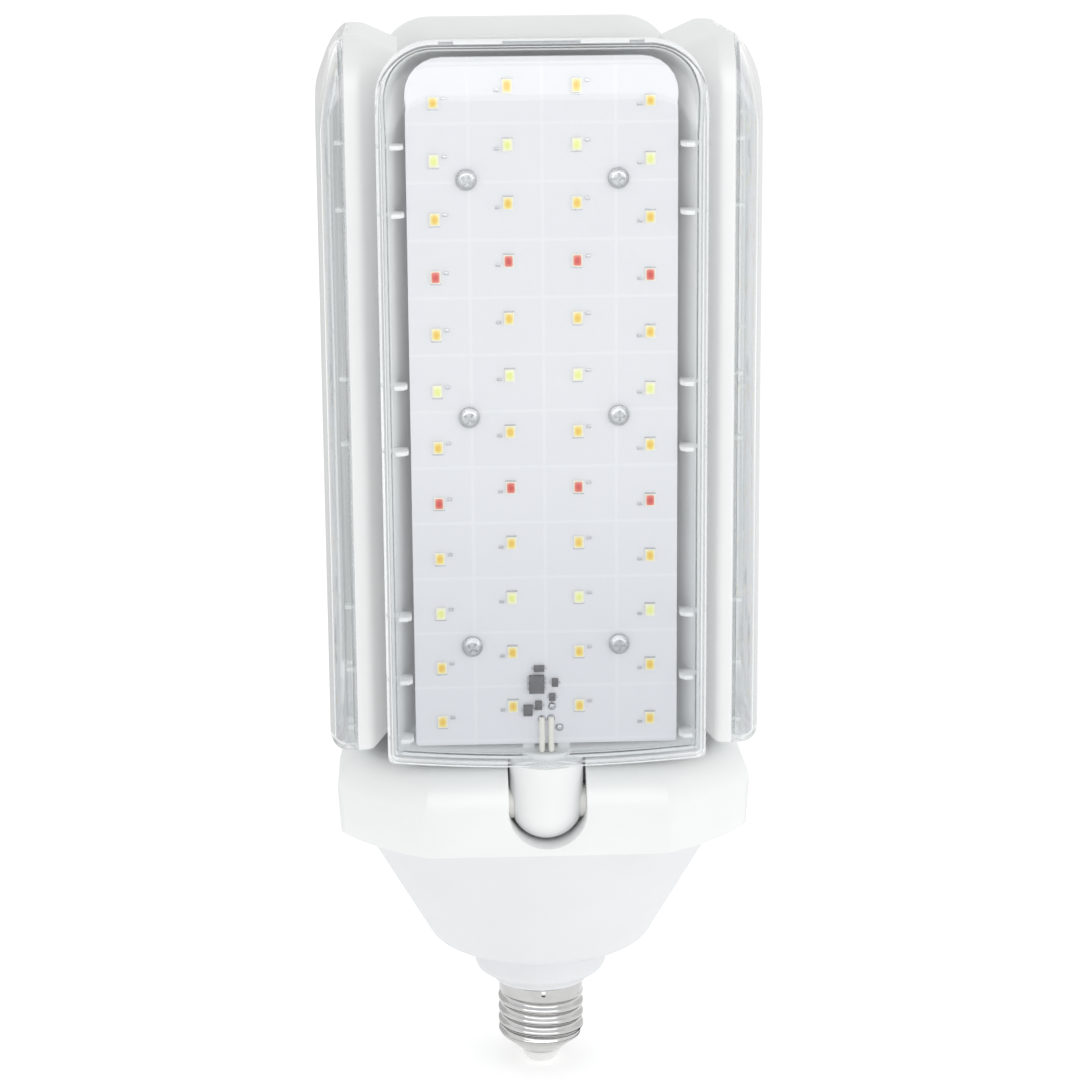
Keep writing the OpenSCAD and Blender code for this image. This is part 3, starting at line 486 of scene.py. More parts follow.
def mesh_from(
    name: str, verts: Iterable[Sequence[float]], faces: Iterable[Sequence[int]], sharp_deg: float = 40.0
) -> bpy.types.Mesh:
    """Makes a smooth mesh from points in millimetres, with its faces turned outwards.

    Args:
        name: The mesh's name.
        verts: Points in millimetres.
        faces: Corners of each face.
        sharp_deg: Edges that turn by more than this stay sharp.

    Returns:
        The mesh, in metres.
    """
    mesh = bpy.data.meshes.new(name)
    mesh.from_pydata([tuple(c * MM for c in v) for v in verts], [], [tuple(f) for f in faces])
    tidy(mesh, sharp_deg)
    return mesh


@contextmanager
def opened(mesh: bpy.types.Mesh) -> Iterator[bmesh.types.BMesh]:
    """Opens a mesh for edits and writes them back.

    Args:
        mesh: The mesh.

    Yields:
        The open mesh.
    """
    bm = bmesh.new()
    bm.from_mesh(mesh)
    yield bm
    bm.to_mesh(mesh)
    bm.free()


def tidy(mesh: bpy.types.Mesh, sharp_deg: float = 40.0) -> None:
    """Merges a mesh's doubles, turns its faces outwards and shades it smooth between edges.

    Args:
        mesh: The mesh to tidy.
        sharp_deg: Edges that turn by more than this stay sharp.
    """
    with opened(mesh) as bm:
        bmesh.ops.remove_doubles(bm, verts=bm.verts, dist=1e-7)
        bmesh.ops.recalc_face_normals(bm, faces=bm.faces)
    mesh.shade_smooth()
    mesh.set_sharp_from_angle(angle=math.radians(sharp_deg))


def skin(
    name: str, rings: Sequence[Ring], closed: Sequence[bool] = (True, True), sharp_deg: float = 40.0
) -> bpy.types.Mesh:
    """Makes a mesh through rings of points that follow each other.

    Args:
        name: The mesh's name.
        rings: The rings, in millimetres, all with as many points.
        closed: Whether a face closes the first ring, and the last one.
        sharp_deg: Edges that turn by more than this stay sharp.

    Returns:
        The mesh, in metres.
    """
    size = len(rings[0])
    faces: list[Sequence[int]] = [
        (r + k, r + (k + 1) % size, r + size + (k + 1) % size, r + size + k)
        for r in range(0, (len(rings) - 1) * size, size)
        for k in range(size)
    ]
    for first, is_closed in zip((0, (len(rings) - 1) * size), closed, strict=True):
        if is_closed:
            faces.append(tuple(range(first, first + size)))
    return mesh_from(name, [spot for ring in rings for spot in ring], faces, sharp_deg)


def lathe(name: str, profile: Sequence[Point], steps: int = 128) -> bpy.types.Mesh:
    """Turns a profile about the Z axis and closes its ends, unless they meet.

    Args:
        name: The mesh's name.
        profile: Points as radius and height.
        steps: Segments around.

    Returns:
        The turned mesh.
    """
    turns = [math.tau * k / steps for k in range(steps)]
    rings = [[(r * math.cos(a), r * math.sin(a), z) for a in turns] for r, z in profile]
    open_ends = profile[0] != profile[-1]
    return skin(name, rings, [open_ends and r > 1e-6 for r, _ in (profile[0], profile[-1])])


def joined(name: str, meshes: Sequence[bpy.types.Mesh]) -> bpy.types.Mesh:
    """Puts several meshes of one material in one mesh.

    Args:
        name: The new mesh's name.
        meshes: The meshes, which are removed.

    Returns:
        The joined mesh.
    """
    bm = bmesh.new()
    for mesh in meshes:
        bm.from_mesh(mesh)
    out = bpy.data.meshes.new(name)
    bm.to_mesh(out)
    bm.free()
    for mesh in meshes:
        bpy.data.meshes.remove(mesh)
    return out


def as_object(name: str, data: bpy.types.ID) -> bpy.types.Object:
    """Links a mesh, a lamp or a camera to the scene as an object at the origin."""
    thing = bpy.data.objects.new(name, data)
    bpy.context.scene.collection.objects.link(thing)
    return thing


def applied(thing: bpy.types.Object) -> bpy.types.Mesh:
    """Evaluates an object's modifiers into a new mesh and removes the object.

    Args:
        thing: The object with its modifiers.

    Returns:
        The evaluated mesh.
    """
    graph = bpy.context.evaluated_depsgraph_get()
    mesh = bpy.data.meshes.new_from_object(thing.evaluated_get(graph))
    old = thing.data
    bpy.data.objects.remove(thing)
    bpy.data.meshes.remove(old)
    return mesh


def bevelled(
    name: str, mesh: bpy.types.Mesh, width_mm: float, segments: int, angle_deg: float
) -> bpy.types.Mesh:
    """Breaks a mesh's edges by a small rounding.

    Args:
        name: The name of the object that carries it meanwhile.
        mesh: The mesh, which is used up.
        width_mm: Width of the rounding.
        segments: Segments across it.
        angle_deg: Edges that turn by more than this are rounded.

    Returns:
        The rounded mesh.
    """
    thing = as_object(name, mesh)
    bevel = thing.modifiers.new("rounding", "BEVEL")
    bevel.width = width_mm * MM
    bevel.segments = segments
    bevel.limit_method = "ANGLE"
    bevel.angle_limit = math.radians(angle_deg)
    return applied(thing)


def softened(name: str, node: str, width_mm: float) -> bpy.types.Mesh:
    """Copies a CAD node's mesh with its edges broken by a small rounding.

    Args:
        name: The new mesh's name.
        node: The CAD node.
        width_mm: Width of the rounding.

    Returns:
        The softened mesh.
    """
    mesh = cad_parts[node].data.copy()
    with opened(mesh) as bm:
        bmesh.ops.remove_doubles(bm, verts=bm.verts, dist=2e-6)
        flat = math.radians(0.6)
        bmesh.ops.dissolve_limit(bm, angle_limit=flat, verts=bm.verts, edges=bm.edges)
    mesh.materials.clear()
    out = bevelled(name, mesh, width_mm, 3, 32.0)
    out.shade_smooth()
    out.set_sharp_from_angle(angle=math.radians(28))
    return out


@dataclass
class Dresser:
    """Puts finished meshes in the scene, on their bodies and in place of their nodes."""

    finishes: Finishes

    def place(
        self, name: str, mesh: bpy.types.Mesh, finish: Finish, body: str, slot: str, nodes: Sequence[str] = ()
    ) -> None:
        """Makes one piece of the lamp.

        Args:
            name: The piece's name.
            mesh: Its mesh, in place.
            finish: Its finish.
            body: The CAD body that it rides on.
            slot: The record's material slot. Not used.
            nodes: CAD nodes that it stands for.
        """
        mesh.materials.clear()
        mesh.materials.append(self.finishes.get(finish))
        thing = as_object(name, mesh)
        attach(thing, body)
        if nodes:
            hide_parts(*nodes)
        LOG.info("%s: %d faces on %s", name, len(mesh.polygons), body)

    def on_every_side(
        self, name: str, mesh: bpy.types.Mesh, finish: Finish, slot: str, node: str | None = None
    ) -> None:
        """Places turned copies of a front mesh on all four panels.

        Args:
            name: The piece's name without its side.
            mesh: The front mesh.
            finish: Its finish.
            slot: The record's material slot.
            node: The CAD node that it stands for, without its side.
        """
        for side in Side:
            turned = mesh.copy()
            turned.transform(side.turn)
            nodes = [f"{side.word}_{node}"] if node else []
            self.place(f"{side.word}_{name}", turned, finish, f"{side.word}_panel", slot, nodes)
        bpy.data.meshes.remove(mesh)

    def finish_nodes(self, finish: Finish, *nodes: str) -> None:
        """Gives CAD nodes that stay in the scene their finish.

        Args:
            finish: The finish.
            nodes: The nodes' names.
        """
        material = self.finishes.get(finish)
        for name in nodes:
            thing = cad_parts[name]
            thing.data.materials.clear()
            thing.data.materials.append(material)


# ---------------------------------------------------------------- repeated pieces


LADDER_INPUTS = {
    "Piece": "Object", "Finish": "Material", "Rows": "Int", "Row pitch": "Float",
    "Half width": "Float", "Top": "Float", "Depth": "Float", "Left turn": "Float",
}


@dataclass
class Ladder:
    """A Geometry Nodes tree that sets copies of a piece in two columns of rows.

    The copies in the left column are turned about the panel's normal.
    """

    tree: bpy.types.NodeTree = field(init=False)

    def __post_init__(self) -> None:
        """Builds the tree."""
        self.tree = bpy.data.node_groups.new("two columns of copies", "GeometryNodeTree")
        new_socket = self.tree.interface.new_socket
        for name, kind in LADDER_INPUTS.items():
            new_socket(name=name, in_out="INPUT", socket_type=f"NodeSocket{kind}")
        new_socket(name="Geometry", in_out="OUTPUT", socket_type="NodeSocketGeometry")
        add = partial(add_node, self.tree)
        given = add("NodeGroupInput")
        piece = add("GeometryNodeObjectInfo", {
            "As Instance": True, "Object": given["Piece"],
        })["Geometry"]
        back, left, drop = (
            add("ShaderNodeMath", {0: given[name], 1: -1.0}, operation="MULTIPLY")[0]
            for name in ("Depth", "Half width", "Row pitch")
        )
        step = add("ShaderNodeCombineXYZ", {"Z": drop})[0]
        columns = []
        for x, turn in ((given["Half width"], 0.0), (left, given["Left turn"])):
            start = add("ShaderNodeCombineXYZ", {"X": x, "Y": back, "Z": given["Top"]})[0]
            line = add("GeometryNodeMeshLine", {
                "Count": given["Rows"], "Start Location": start, "Offset": step,
            }, mode="OFFSET")[0]
            spin = add("ShaderNodeCombineXYZ", {"Y": turn})[0]
            columns.append(add("GeometryNodeInstanceOnPoints", {
                "Points": line, "Instance": piece, "Rotation": spin,
            })[0])
        both = add("GeometryNodeJoinGeometry", {"Geometry": columns})[0]
        real = add("GeometryNodeRealizeInstances", {"Geometry": both})[0]
        done = add("GeometryNodeSetMaterial", {"Geometry": real, "Material": given["Finish"]})[0]
        add("NodeGroupOutput", {"Geometry": done})

    def run(
        self, mesh: bpy.types.Mesh, finish: bpy.types.Material, rows: int, pitch: float,
        half_width: float, top: float, depth: float, left_turn: float = 0.0,
    ) -> bpy.types.Mesh:
        """Sets the copies and returns them as one mesh.

        Args:
            mesh: The mesh to copy, at the origin.
            finish: The copies' material.
            rows: Number of rows.
            pitch: Distance between rows, in millimetres.
            half_width: Distance of each column from the middle.
            top: Height of the first row.
            depth: Distance of the copies from the lamp's axis.
            left_turn: Turn of the left column's copies, in radians.

        Returns:
            The copies as one mesh.
        """
        piece = as_object("piece", mesh)
        carrier = as_object("ladder", bpy.data.meshes.new("ladder"))
        mod = carrier.modifiers.new("ladder", "NODES")
        mod.node_group = self.tree
        lengths = (length * MM for length in (pitch, half_width, top, depth))
        given = dict(zip(LADDER_INPUTS, (piece, finish, rows, *lengths, left_turn), strict=True))
        for item in self.tree.interface.items_tree:
            if item.in_out == "INPUT":
                mod[item.identifier] = given[item.name]
        out = applied(carrier)
        bpy.data.objects.remove(piece)
        return out


# ---------------------------------------------------------------- panel


@dataclass
class PanelOutline:
    """The outline of a panel seen from its front.

    Attributes:
        half_w: Half the panel's width.
        low: Height of its lower edge at the middle.
        high: Height of its upper edge.
        corner_r: Radius of its upper corners.
        heel_r: Radius of its lower corners.
        bow: How far the lower edge bows down at its middle.
        notches: Middle and width of each notch in the upper rim.
    """

    half_w: float = 45.0
    low: float = 85.2
    high: float = 288.6
    corner_r: float = 16.0
    heel_r: float = 1.8
    bow: float = 2.0
    notches: tuple[Point, ...] = ((0.0, 21.0), (-25.7, 4.0), (25.7, 4.0))

    def top_stops(self, reach: float) -> list[float]:
        """X of the points along the upper edge, from right to left.

        Args:
            reach: Half the length of the straight edge.

        Returns:
            The points, with a close pair at each end of each notch.
        """
        stops = [reach * s / 6 for s in range(-5, 6)]
        for middle, width in self.notches:
            for end in (-width / 2, width / 2):
                stops += [middle + end - 0.06, middle + end + 0.06]
        return sorted((s for s in stops if abs(s) < reach - 0.2), reverse=True)

    def ring(self, inset: float, drop: float) -> list[Point]:
        """The outline drawn in, from the upper right corner round to the left.

        Args:
            inset: How far its sides and foot are drawn in.
            drop: How far its upper end is lowered.

        Returns:
            Points as X and Z. Every inset gives the same number of points.
        """
        r = self.corner_r - inset
        reach, cz = self.half_w - self.corner_r, self.high - drop - r
        w = self.half_w - inset
        heel = max(self.heel_r - inset * 0.4, 0.3)
        heel_z = self.low + inset + self.bow + heel
        side = [heel_z + (cz - heel_z) * k / 8 for k in range(1, 8)]
        foot = [-1 + 2 * k / 16 for k in range(1, 16)]
        return [
            *quarter(reach, cz, r, 0, 14),
            *((x, self.high - drop) for x in self.top_stops(reach)),
            *quarter(-reach, cz, r, 90, 14),
            *((-w, z) for z in reversed(side)),
            *quarter(heel - w, heel_z, heel, 180, 5),
            *((s * (w - heel), self.low + inset + self.bow * s * s) for s in foot),
            *quarter(w - heel, heel_z, heel, 270, 5),
            *((w, z) for z in side),
        ]

    def in_notch(self, x: float, z: float, drop: float) -> bool:
        """True for a point of the upper edge that lies in a notch."""
        on_top = z > self.high - drop - 0.01
        return on_top and any(abs(x - m) < w / 2 for m, w in self.notches)

    def loft(
        self, name: str, sections: Sequence[Section], notch: Callable[[int], float] | None = None
    ) -> bpy.types.Mesh:
        """A closed mesh through the outline at several depths.

        Args:
            name: The mesh's name.
            sections: Depth from the lamp's axis, inset and drop, in order.
            notch: How deep section k is notched, if it is.

        Returns:
            The lofted mesh.
        """
        rings = []
        for k, (u, inset, drop) in enumerate(sections):
            dip = notch(k) if notch else 0.0
            rings.append([
                (x, (dip if self.in_notch(x, z, drop) else 0.0) - u, z)
                for x, z in self.ring(inset, drop)
            ])
        return skin(name, rings)


@dataclass
class Panel:
    """One light panel, made at the front.

    Attributes:
        outline: Its outline.
        rim_u: Distance from the axis to the rim.
        depth: Depth of the shell behind the rim.
        band: Straight part of the shell's wall.
        slope: How far the back edge slopes in.
        top_slope: How far it slopes in at the upper end.
        wall: The shell's wall.
        cover: Depth of the clear cover.
        cover_r: Radius of its edge.
        cover_wall: Its wall.
        crown_drop: How far the cover's upper end falls back from its face to the rim.
        crown_power: Fullness of that fall: 1 is a chamfer, 2 a quarter of an ellipse.
        board_u: Distance from the axis to the board's face.
        board_t: Its thickness.
        board_low: Height of the board's lower edge.
        board_high: Height of its upper edge.
        board_half_w: Half its width.
        row_pitch: Distance between rows of lamps.
        first_row: Distance of the outer columns' first row from the board's upper edge.
        outer_x: Distance of the outer columns from the middle.
        inner_x: Distance of the inner columns.
        inner_rise: How much higher the inner columns stand.
        screw_x: Distance of the screws from the middle.
        screw_z: Height of the middle screws.
        screw_pitch: Distance between screws.
        notch: Depth of the notches in the upper rim.
    """

    dresser: Dresser
    ladder: Ladder
    outline: PanelOutline = field(default_factory=PanelOutline)
    rim_u: float = 53.5
    depth: float = 15.0
    band: float = 4.0
    slope: float = 10.5
    top_slope: float = 5.0
    wall: float = 2.0
    cover: float = 8.0
    cover_r: float = 5.0
    cover_wall: float = 1.5
    crown_drop: float = 14.0
    crown_power: float = 1.5
    board_u: float = 52.0
    board_t: float = 1.6
    board_low: float = 90.8
    board_high: float = 283.6
    board_half_w: float = 37.0
    row_pitch: float = 15.83
    first_row: float = 11.6
    outer_x: float = 29.4
    inner_x: float = 9.4
    inner_rise: float = 4.17
    screw_x: float = 20.7
    screw_z: float = 185.4
    screw_pitch: float = 65.6
    notch: float = 0.8

    def build(self) -> None:
        """Builds every piece of the four panels."""
        self.shell()
        self.clear_cover()
        self.board()
        self.lamps()
        self.board_screws()
        self.driver()
        self.arm()

    def shell(self) -> None:
        """The white back shell with its bosses and snap tabs."""
        side, top = (self.shell_line(slope) for slope in (self.slope, self.top_slope))
        line = [(u, inset, drop) for (u, inset), (_, drop) in zip(side, top, strict=True)]
        low_u, wall_in = self.rim_u - 1.0, self.wall + 0.01
        shell = self.outline.loft(
            "shell", line, lambda k: self.notch if line[k][0] > low_u and line[k][1] < wall_in else 0.0
        )
        white = self.dresser.finishes.get(WHITE_ABS)
        boss_r, bore_r, boss_h, boss_u = 3.4, 1.25, 9.9, 40.4
        boss = lathe("boss", rounded(
            [(0, 0), (boss_r, 0), (boss_r, boss_h), (bore_r, boss_h), (bore_r, 6)],
            (0, 0, 0.3, 0.1, 0), 2), 24)
        boss.transform(Matrix.Rotation(math.pi / 2, 4, "X"))
        bosses = self.ladder.run(
            boss, white, 3, self.screw_pitch, self.screw_x, self.screw_z + self.screw_pitch, boss_u
        )
        whole = joined("shell", [shell, bosses, *self.tabs(white)])
        whole.set_sharp_from_angle(angle=math.radians(40))
        self.dresser.on_every_side("shell_moulding", whole, WHITE_ABS, "white_plastic", "shell")

    def shell_line(self, slope: float) -> list[Point]:
        """The shell's section, from the outside of its back round its rim to its floor.

        Args:
            slope: How far the back edge slopes in there.

        Returns:
            Depth and inset of each point. Every slope gives the same number of points.
        """
        back = self.rim_u - self.depth
        bend = self.rim_u - self.band
        rate = slope / (bend - back)
        slant = self.wall * math.sqrt(1 + rate * rate)
        floor = back + self.wall
        inner = rate * (bend - floor) + slant
        corners = [
            (back, slope + 2.6), (back, slope), (bend, 0.0), (self.rim_u, 0.0),
            (self.rim_u, self.wall), (self.rim_u - 1.5, self.wall), (floor, inner), (floor, inner + 1.4),
        ]
        return rounded(corners, (0, 1.6, 3.5, 0.35, 0.35, 0.8, 1.2, 0), 5)

    def tabs(self, white: bpy.types.Material) -> list[bpy.types.Mesh]:
        """Snap tabs along both long walls.

        Args:
            white: The shell's material.

        Returns:
            The tabs as meshes.
        """
        root_x, tip_x, wall_x = 37.6, 41.3, 43.5
        low_u, lip_u, high_u = 48.5, 50.9, 56.5
        line = [
            (root_x, low_u), (wall_x, low_u), (wall_x, lip_u), (tip_x, lip_u),
            (tip_x, high_u), (root_x + 1.2, high_u), (root_x, high_u - 1.6),
        ]
        mid = (root_x + wall_x) / 2
        outline = [[(x - mid, -u, z) for x, u in line] for z in (-0.6, 0.6)]
        tab = bevelled("tab", skin("tab", outline), 0.25, 2, 30.0)
        top, off = self.screw_z + self.screw_pitch, 9.2
        out = []
        for count, start in ((3, top + off), (3, top - off), (1, self.outline.low + 8.3)):
            both = self.ladder.run(tab, white, count, self.screw_pitch, mid, start, 0.0)
            # The left column's tabs face the other wall, so they are mirrored there.
            for v in both.vertices:
                if v.co.x < 0:
                    v.co.x = -2 * mid * MM - v.co.x
            tidy(both)
            out.append(both)
        return out

    def clear_cover(self) -> None:
        """The clear cover with its rounded edge and the lip inside the shell."""
        lip_out, lip_in, lip_t = 2.1, 3.3, 1.2
        seat, lip_u = self.rim_u + 0.05, self.rim_u - 2.2
        rim = rounded(
            [(seat + 0.3, 0.0), (seat, 0.0), (seat, lip_out), (lip_u, lip_out), (lip_u, lip_in),
             (self.rim_u, lip_in), (self.rim_u + lip_t, self.cover_wall)],
            (0, 0.12, 0.15, 0.2, 0.2, 0.3, 0), 3,
        )[1:-1]
        line = [*reversed(self.cover_line(0.0, 0.35)), *((u, inset, inset) for u, inset in rim)]
        line += self.cover_line(self.cover_wall, lip_t)
        mesh = self.outline.loft("cover", line)
        # The mark runs from 0 on the face to 1 on the long side walls, where the cover's material paints
        # shade and darker streaks.
        mark = mesh.attributes.new(SIDE_SHADE_MARK, "FLOAT", "POINT")
        low_u = self.rim_u + 0.2
        for v in mesh.vertices:
            round_in = abs(v.co.x) / MM - self.outline.half_w + self.cover_r
            share = min(max(round_in / (self.cover_r - self.cover_wall), 0.0), 1.0)
            mark.data[v.index].value = share**2 if -v.co.y / MM > low_u else 0.0
        self.dresser.on_every_side("cover_moulding", mesh, CLEAR, "clear_plastic", "clear_cover")

    def cover_line(self, wall: float, start: float) -> list[Section]:
        """The outside of the cover's section, or its inside at the wall's distance.

        Args:
            wall: Distance from the outside.
            start: Rise above the rim where it starts.

        Returns:
            Depth, inset and drop of each point, up to the face.
        """
        straight = self.cover - self.cover_r
        r = self.cover_r - wall
        line = [(start + (straight - start) * k / 4, wall) for k in range(4)]
        bend = reversed(quarter(self.cover_r, straight, r, 90, 12))
        line += [(rise, inset) for inset, rise in bend]
        out = []
        for rise, inset in line:
            share = min(rise / (self.cover - wall), 1.0) ** self.crown_power
            crown = self.crown_drop * (1 - (1 - share) ** (1 / self.crown_power))
            out.append((self.rim_u + rise, inset, wall + crown))
        u, inset, drop = out[-1]
        return [*out, (u, inset + 3.0, drop + 1.5)]

    def board(self) -> None:
        """The white light board, with a flat map for its tracks."""
        w, r, foot_r = self.board_half_w, 10.0, 1.0
        low, high = self.board_low, self.board_high

        def ring(inset: float) -> list[Point]:
            """The board's outline, drawn in."""
            corners = (
                (w - r, high - r, r, 0), (r - w, high - r, r, 90),
                (foot_r - w, low + foot_r, foot_r, 180), (w - foot_r, low + foot_r, foot_r, 270),
            )
            return [p for x, z, rr, start in corners for p in quarter(x, z, rr - inset, start, 6)]

        back, face, edge = self.board_u - self.board_t, self.board_u, 0.12
        sections = [(back, 0.6), (back, edge), (back + edge, 0.0), (face - edge, 0.0),
                    (face, edge), (face, 0.6)]
        mesh = skin("board", [[(x, -u, z) for x, z in ring(inset)] for u, inset in sections])
        flat = mesh.uv_layers.new(name=BOARD_MAP)
        # The gaps between panes run midway between the rows of lamps and between the columns.
        far = 10 * MASK.pane_w_mm * MM
        gap_z = high - self.first_row + self.inner_rise / 2 - self.row_pitch / 2
        gap_z -= math.floor(gap_z / self.row_pitch) * self.row_pitch
        for loop in mesh.loops:
            co = mesh.vertices[loop.vertex_index].co
            flat.data[loop.index].uv = (co.x + far, co.z - gap_z * MM)
        self.dresser.on_every_side("board_plate", mesh, MASK, "board_white", "light_board")

    def lamp_columns(self, mesh: bpy.types.Mesh, finish: Finish, lamp: Lamp) -> bpy.types.Mesh:
        """Copies of a piece at every place of one kind of lamp.

        Args:
            mesh: The mesh to copy.
            finish: Its finish.
            lamp: The kind of lamp.

        Returns:
            The copies as one mesh.
        """
        # Each group has its first row, its number of rows and the rows from one to the next.
        groups = {
            Lamp.WARM: [(0, 6, 2), (11, 1, 1)], Lamp.COOL: [(1, 3, 4)], Lamp.RED: [(3, 2, 4)],
        }
        top = self.board_high - self.first_row
        return joined(f"{lamp.value} lamps", [
            self.ladder.run(
                mesh, self.dresser.finishes.get(finish), count, every * self.row_pitch, x,
                top + rise - first * self.row_pitch, self.board_u, math.pi,
            )
            for first, count, every in groups[lamp]
            for x, rise in ((-self.outer_x, 0.0), (self.inner_x, self.inner_rise))
        ])

    def lamps(self) -> None:
        """Lamp packages: reflector frames, phosphor and the small tin parts beside and under them; the strip
        under each package is also painted shadow.
        """
        die_w, die_h = 2.2, 2.9
        body = rounded_block("package", 2.8, 3.5, 0.7, 0.12)
        die = rounded_block("phosphor", die_w, die_h, 0.8, 0.1, (0.0, 0.25))
        pads_and_shadow_strips = joined("pads_and_shadow_strips", [
            shifted(rounded_block("pad", 1.3, 0.75, 0.35, 0.06), (2.9, 0.0, 1.1)),
            # The wide, thin tin strip under each package is its pad, and it also stands in for the shadow
            # line under the package: painted shadow.
            shifted(rounded_block("pad", 3.0, 0.5, 0.12, 0.03), (0.0, 0.0, -1.9)),
        ])
        flat = die.uv_layers.new(name=LAMP_MAP)
        for loop in die.loops:
            co = die.vertices[loop.vertex_index].co / MM
            flat.data[loop.index].uv = (co.x / die_w + 0.5, co.z / die_h + 0.5)
        every = self.dresser.on_every_side
        frames = {lamp: self.lamp_columns(body, REFLECTOR, lamp) for lamp in Lamp}
        every("white_frames", joined("frames", [frames[Lamp.WARM], frames[Lamp.COOL]]),
              REFLECTOR, "led_white", "white_leds")
        every("red_frames", frames[Lamp.RED], REFLECTOR, "led_red", "red_leds")
        for lamp, finish in PHOSPHOR.items():
            slot = "led_red" if lamp is Lamp.RED else "led_white"
            every(f"{lamp.value}_phosphor", self.lamp_columns(die, finish, lamp), finish, slot)
        every("lamp_pads", joined("pads_and_shadow_strips", [self.lamp_columns(pads_and_shadow_strips, TIN, lamp) for lamp in Lamp]),
              TIN, "steel")

    def board_screws(self) -> None:
        """Pan-head screws with a cross recess, three in each column."""
        mesh = self.ladder.run(
            cross_screw("screw", 5.8, 2.0, 2.4, 9.0), self.dresser.finishes.get(ZINC), 3,
            self.screw_pitch, self.screw_x, self.screw_z + self.screw_pitch, self.board_u, 0.6,
        )
        tidy(mesh)
        self.dresser.on_every_side("pan_screws", mesh, ZINC, "steel", "board_screws")

    def driver(self) -> None:
        """Driver parts low on the board: black bodies, their legs and solder."""
        chips = [
            (-2.7, 17.7, 4.3, 5.2, 1.6), (-2.0, 22.2, 3.0, 1.8, 0.9), (2.5, 18.0, 1.8, 2.4, 0.8),
            (1.7, 13.7, 1.8, 2.2, 0.8), (-5.2, 10.0, 2.6, 3.2, 1.1), (-2.2, 11.4, 2.0, 2.6, 1.0),
        ]
        bodies = []
        metal = []
        for x, z, w, h, t in chips:
            spot = (x, -self.board_u, self.board_low + z)
            bodies.append(shifted(rounded_block("chip", w, h, t, 0.15, (0.08, 0.0)), spot))
            for end in (-1, 1):
                for k in (-1, 0, 1) if h > 5 else (0,):
                    leg = rounded_block("leg", 0.9, 0.6, t * 0.4, 0.1)
                    metal.append(shifted(leg, (x + end * (w / 2 + 0.2), -self.board_u,
                                               self.board_low + z + k * h / 3.4)))
        for x, z in ((-1.3, 7.2), (1.3, 7.4), (1.6, 11.0), (3.7, 4.7)):
            blob = lathe("blob", rounded([(0, 1.0), (0.7, 0.9), (1.2, 0.0)], (0, 0.6, 0), 4), 16)
            blob.transform(Matrix.Rotation(math.pi / 2, 4, "X"))
            metal.append(shifted(blob, (x, -self.board_u, self.board_low + z)))
        every = self.dresser.on_every_side
        every("chip_bodies", joined("chips", bodies), EPOXY, "chip_black", "driver_chips")
        every("chip_legs", joined("legs", metal), TIN, "steel")

    def arm(self) -> None:
        """The round arm, with its edges softened."""
        mesh = softened("arm", "front_hinge_arm", 0.3)
        self.dresser.on_every_side("arm_moulding", mesh, WHITE_ABS, "white_plastic", "hinge_arm")


def shifted(mesh: bpy.types.Mesh, by_mm: Sequence[float]) -> bpy.types.Mesh:
    """Moves a mesh by a distance in millimetres."""
    mesh.transform(Matrix.Translation(Vector(by_mm) * MM))
    return mesh


def rounded_block(
    name: str, w: float, h: float, t: float, r: float, rise: Point = (0.0, 0.0)
) -> bpy.types.Mesh:
    """A low block on the board's face, its outer edges rounded.

    Args:
        name: The mesh's name.
        w: Width along X.
        h: Height along Z.
        t: How far it stands out, along -Y.
        r: Radius of its edges and corners.
        rise: Lift of its base off the face, and how far its corners are rounded further.

    Returns:
        The block, its base at the origin.
    """
    lift, extra = rise
    corner = r + extra
    corners = ((1, 1, 0), (-1, 1, 90), (-1, -1, 180), (1, -1, 270))
    rings = []
    for y, inset in ((lift, 0.0), (t - r, 0.0), (t - r * 0.3, r * 0.3), (t, r)):
        rr = corner - inset * 0.6
        x_in, z_in = w / 2 - inset - rr, h / 2 - inset - rr
        rings.append([
            (x, -y, z) for i, k, start in corners for x, z in quarter(i * x_in, k * z_in, rr, start, 2)
        ])
    return skin(name, rings)


def cross_screw(name: str, head_d: float, head_h: float, shank_d: float, shank_l: float) -> bpy.types.Mesh:
    """A pan-head screw along +Y from its seat, with a cross recess cut in its head.

    Args:
        name: The mesh's name.
        head_d: The head's diameter.
        head_h: The head's height.
        shank_d: The shank's diameter.
        shank_l: The shank's length.

    Returns:
        The screw.
    """
    r = head_d / 2
    line = rounded(
        [(0, head_h), (r * 0.62, head_h), (r, head_h * 0.45), (r, 0), (shank_d / 2, 0),
         (shank_d / 2, -shank_l), (0, -shank_l - 1.0)],
        (0, 0.8, 0.5, 0.2, 0.1, 0, 0), 4,
    )
    head = as_object(name, lathe(name, line, 40))
    cuts = []
    for turn in (0, math.pi / 2):
        arm = rounded_block("arm", head_d * 0.56, head_d * 0.13, head_h, 0.1)
        arm.transform(Matrix.Rotation(-math.pi / 2, 4, "X"))
        arm.transform(Matrix.Rotation(turn, 4, "Z") @ Matrix.Translation((0, 0, head_h * 0.42 * MM)))
        cuts.append(arm)
    cutter = as_object("cutter", joined("cutter", cuts))
    tidy(cutter.data)
    cut = head.modifiers.new("recess", "BOOLEAN")
    cut.operation = "DIFFERENCE"
    cut.solver = "EXACT"
    cut.use_self = True
    cut.object = cutter
    mesh = applied(head)
    bpy.data.objects.remove(cutter)
    mesh.transform(Matrix.Rotation(math.pi / 2, 4, "X"))
    tidy(mesh, 30)
    return mesh


# ---------------------------------------------------------------- hub


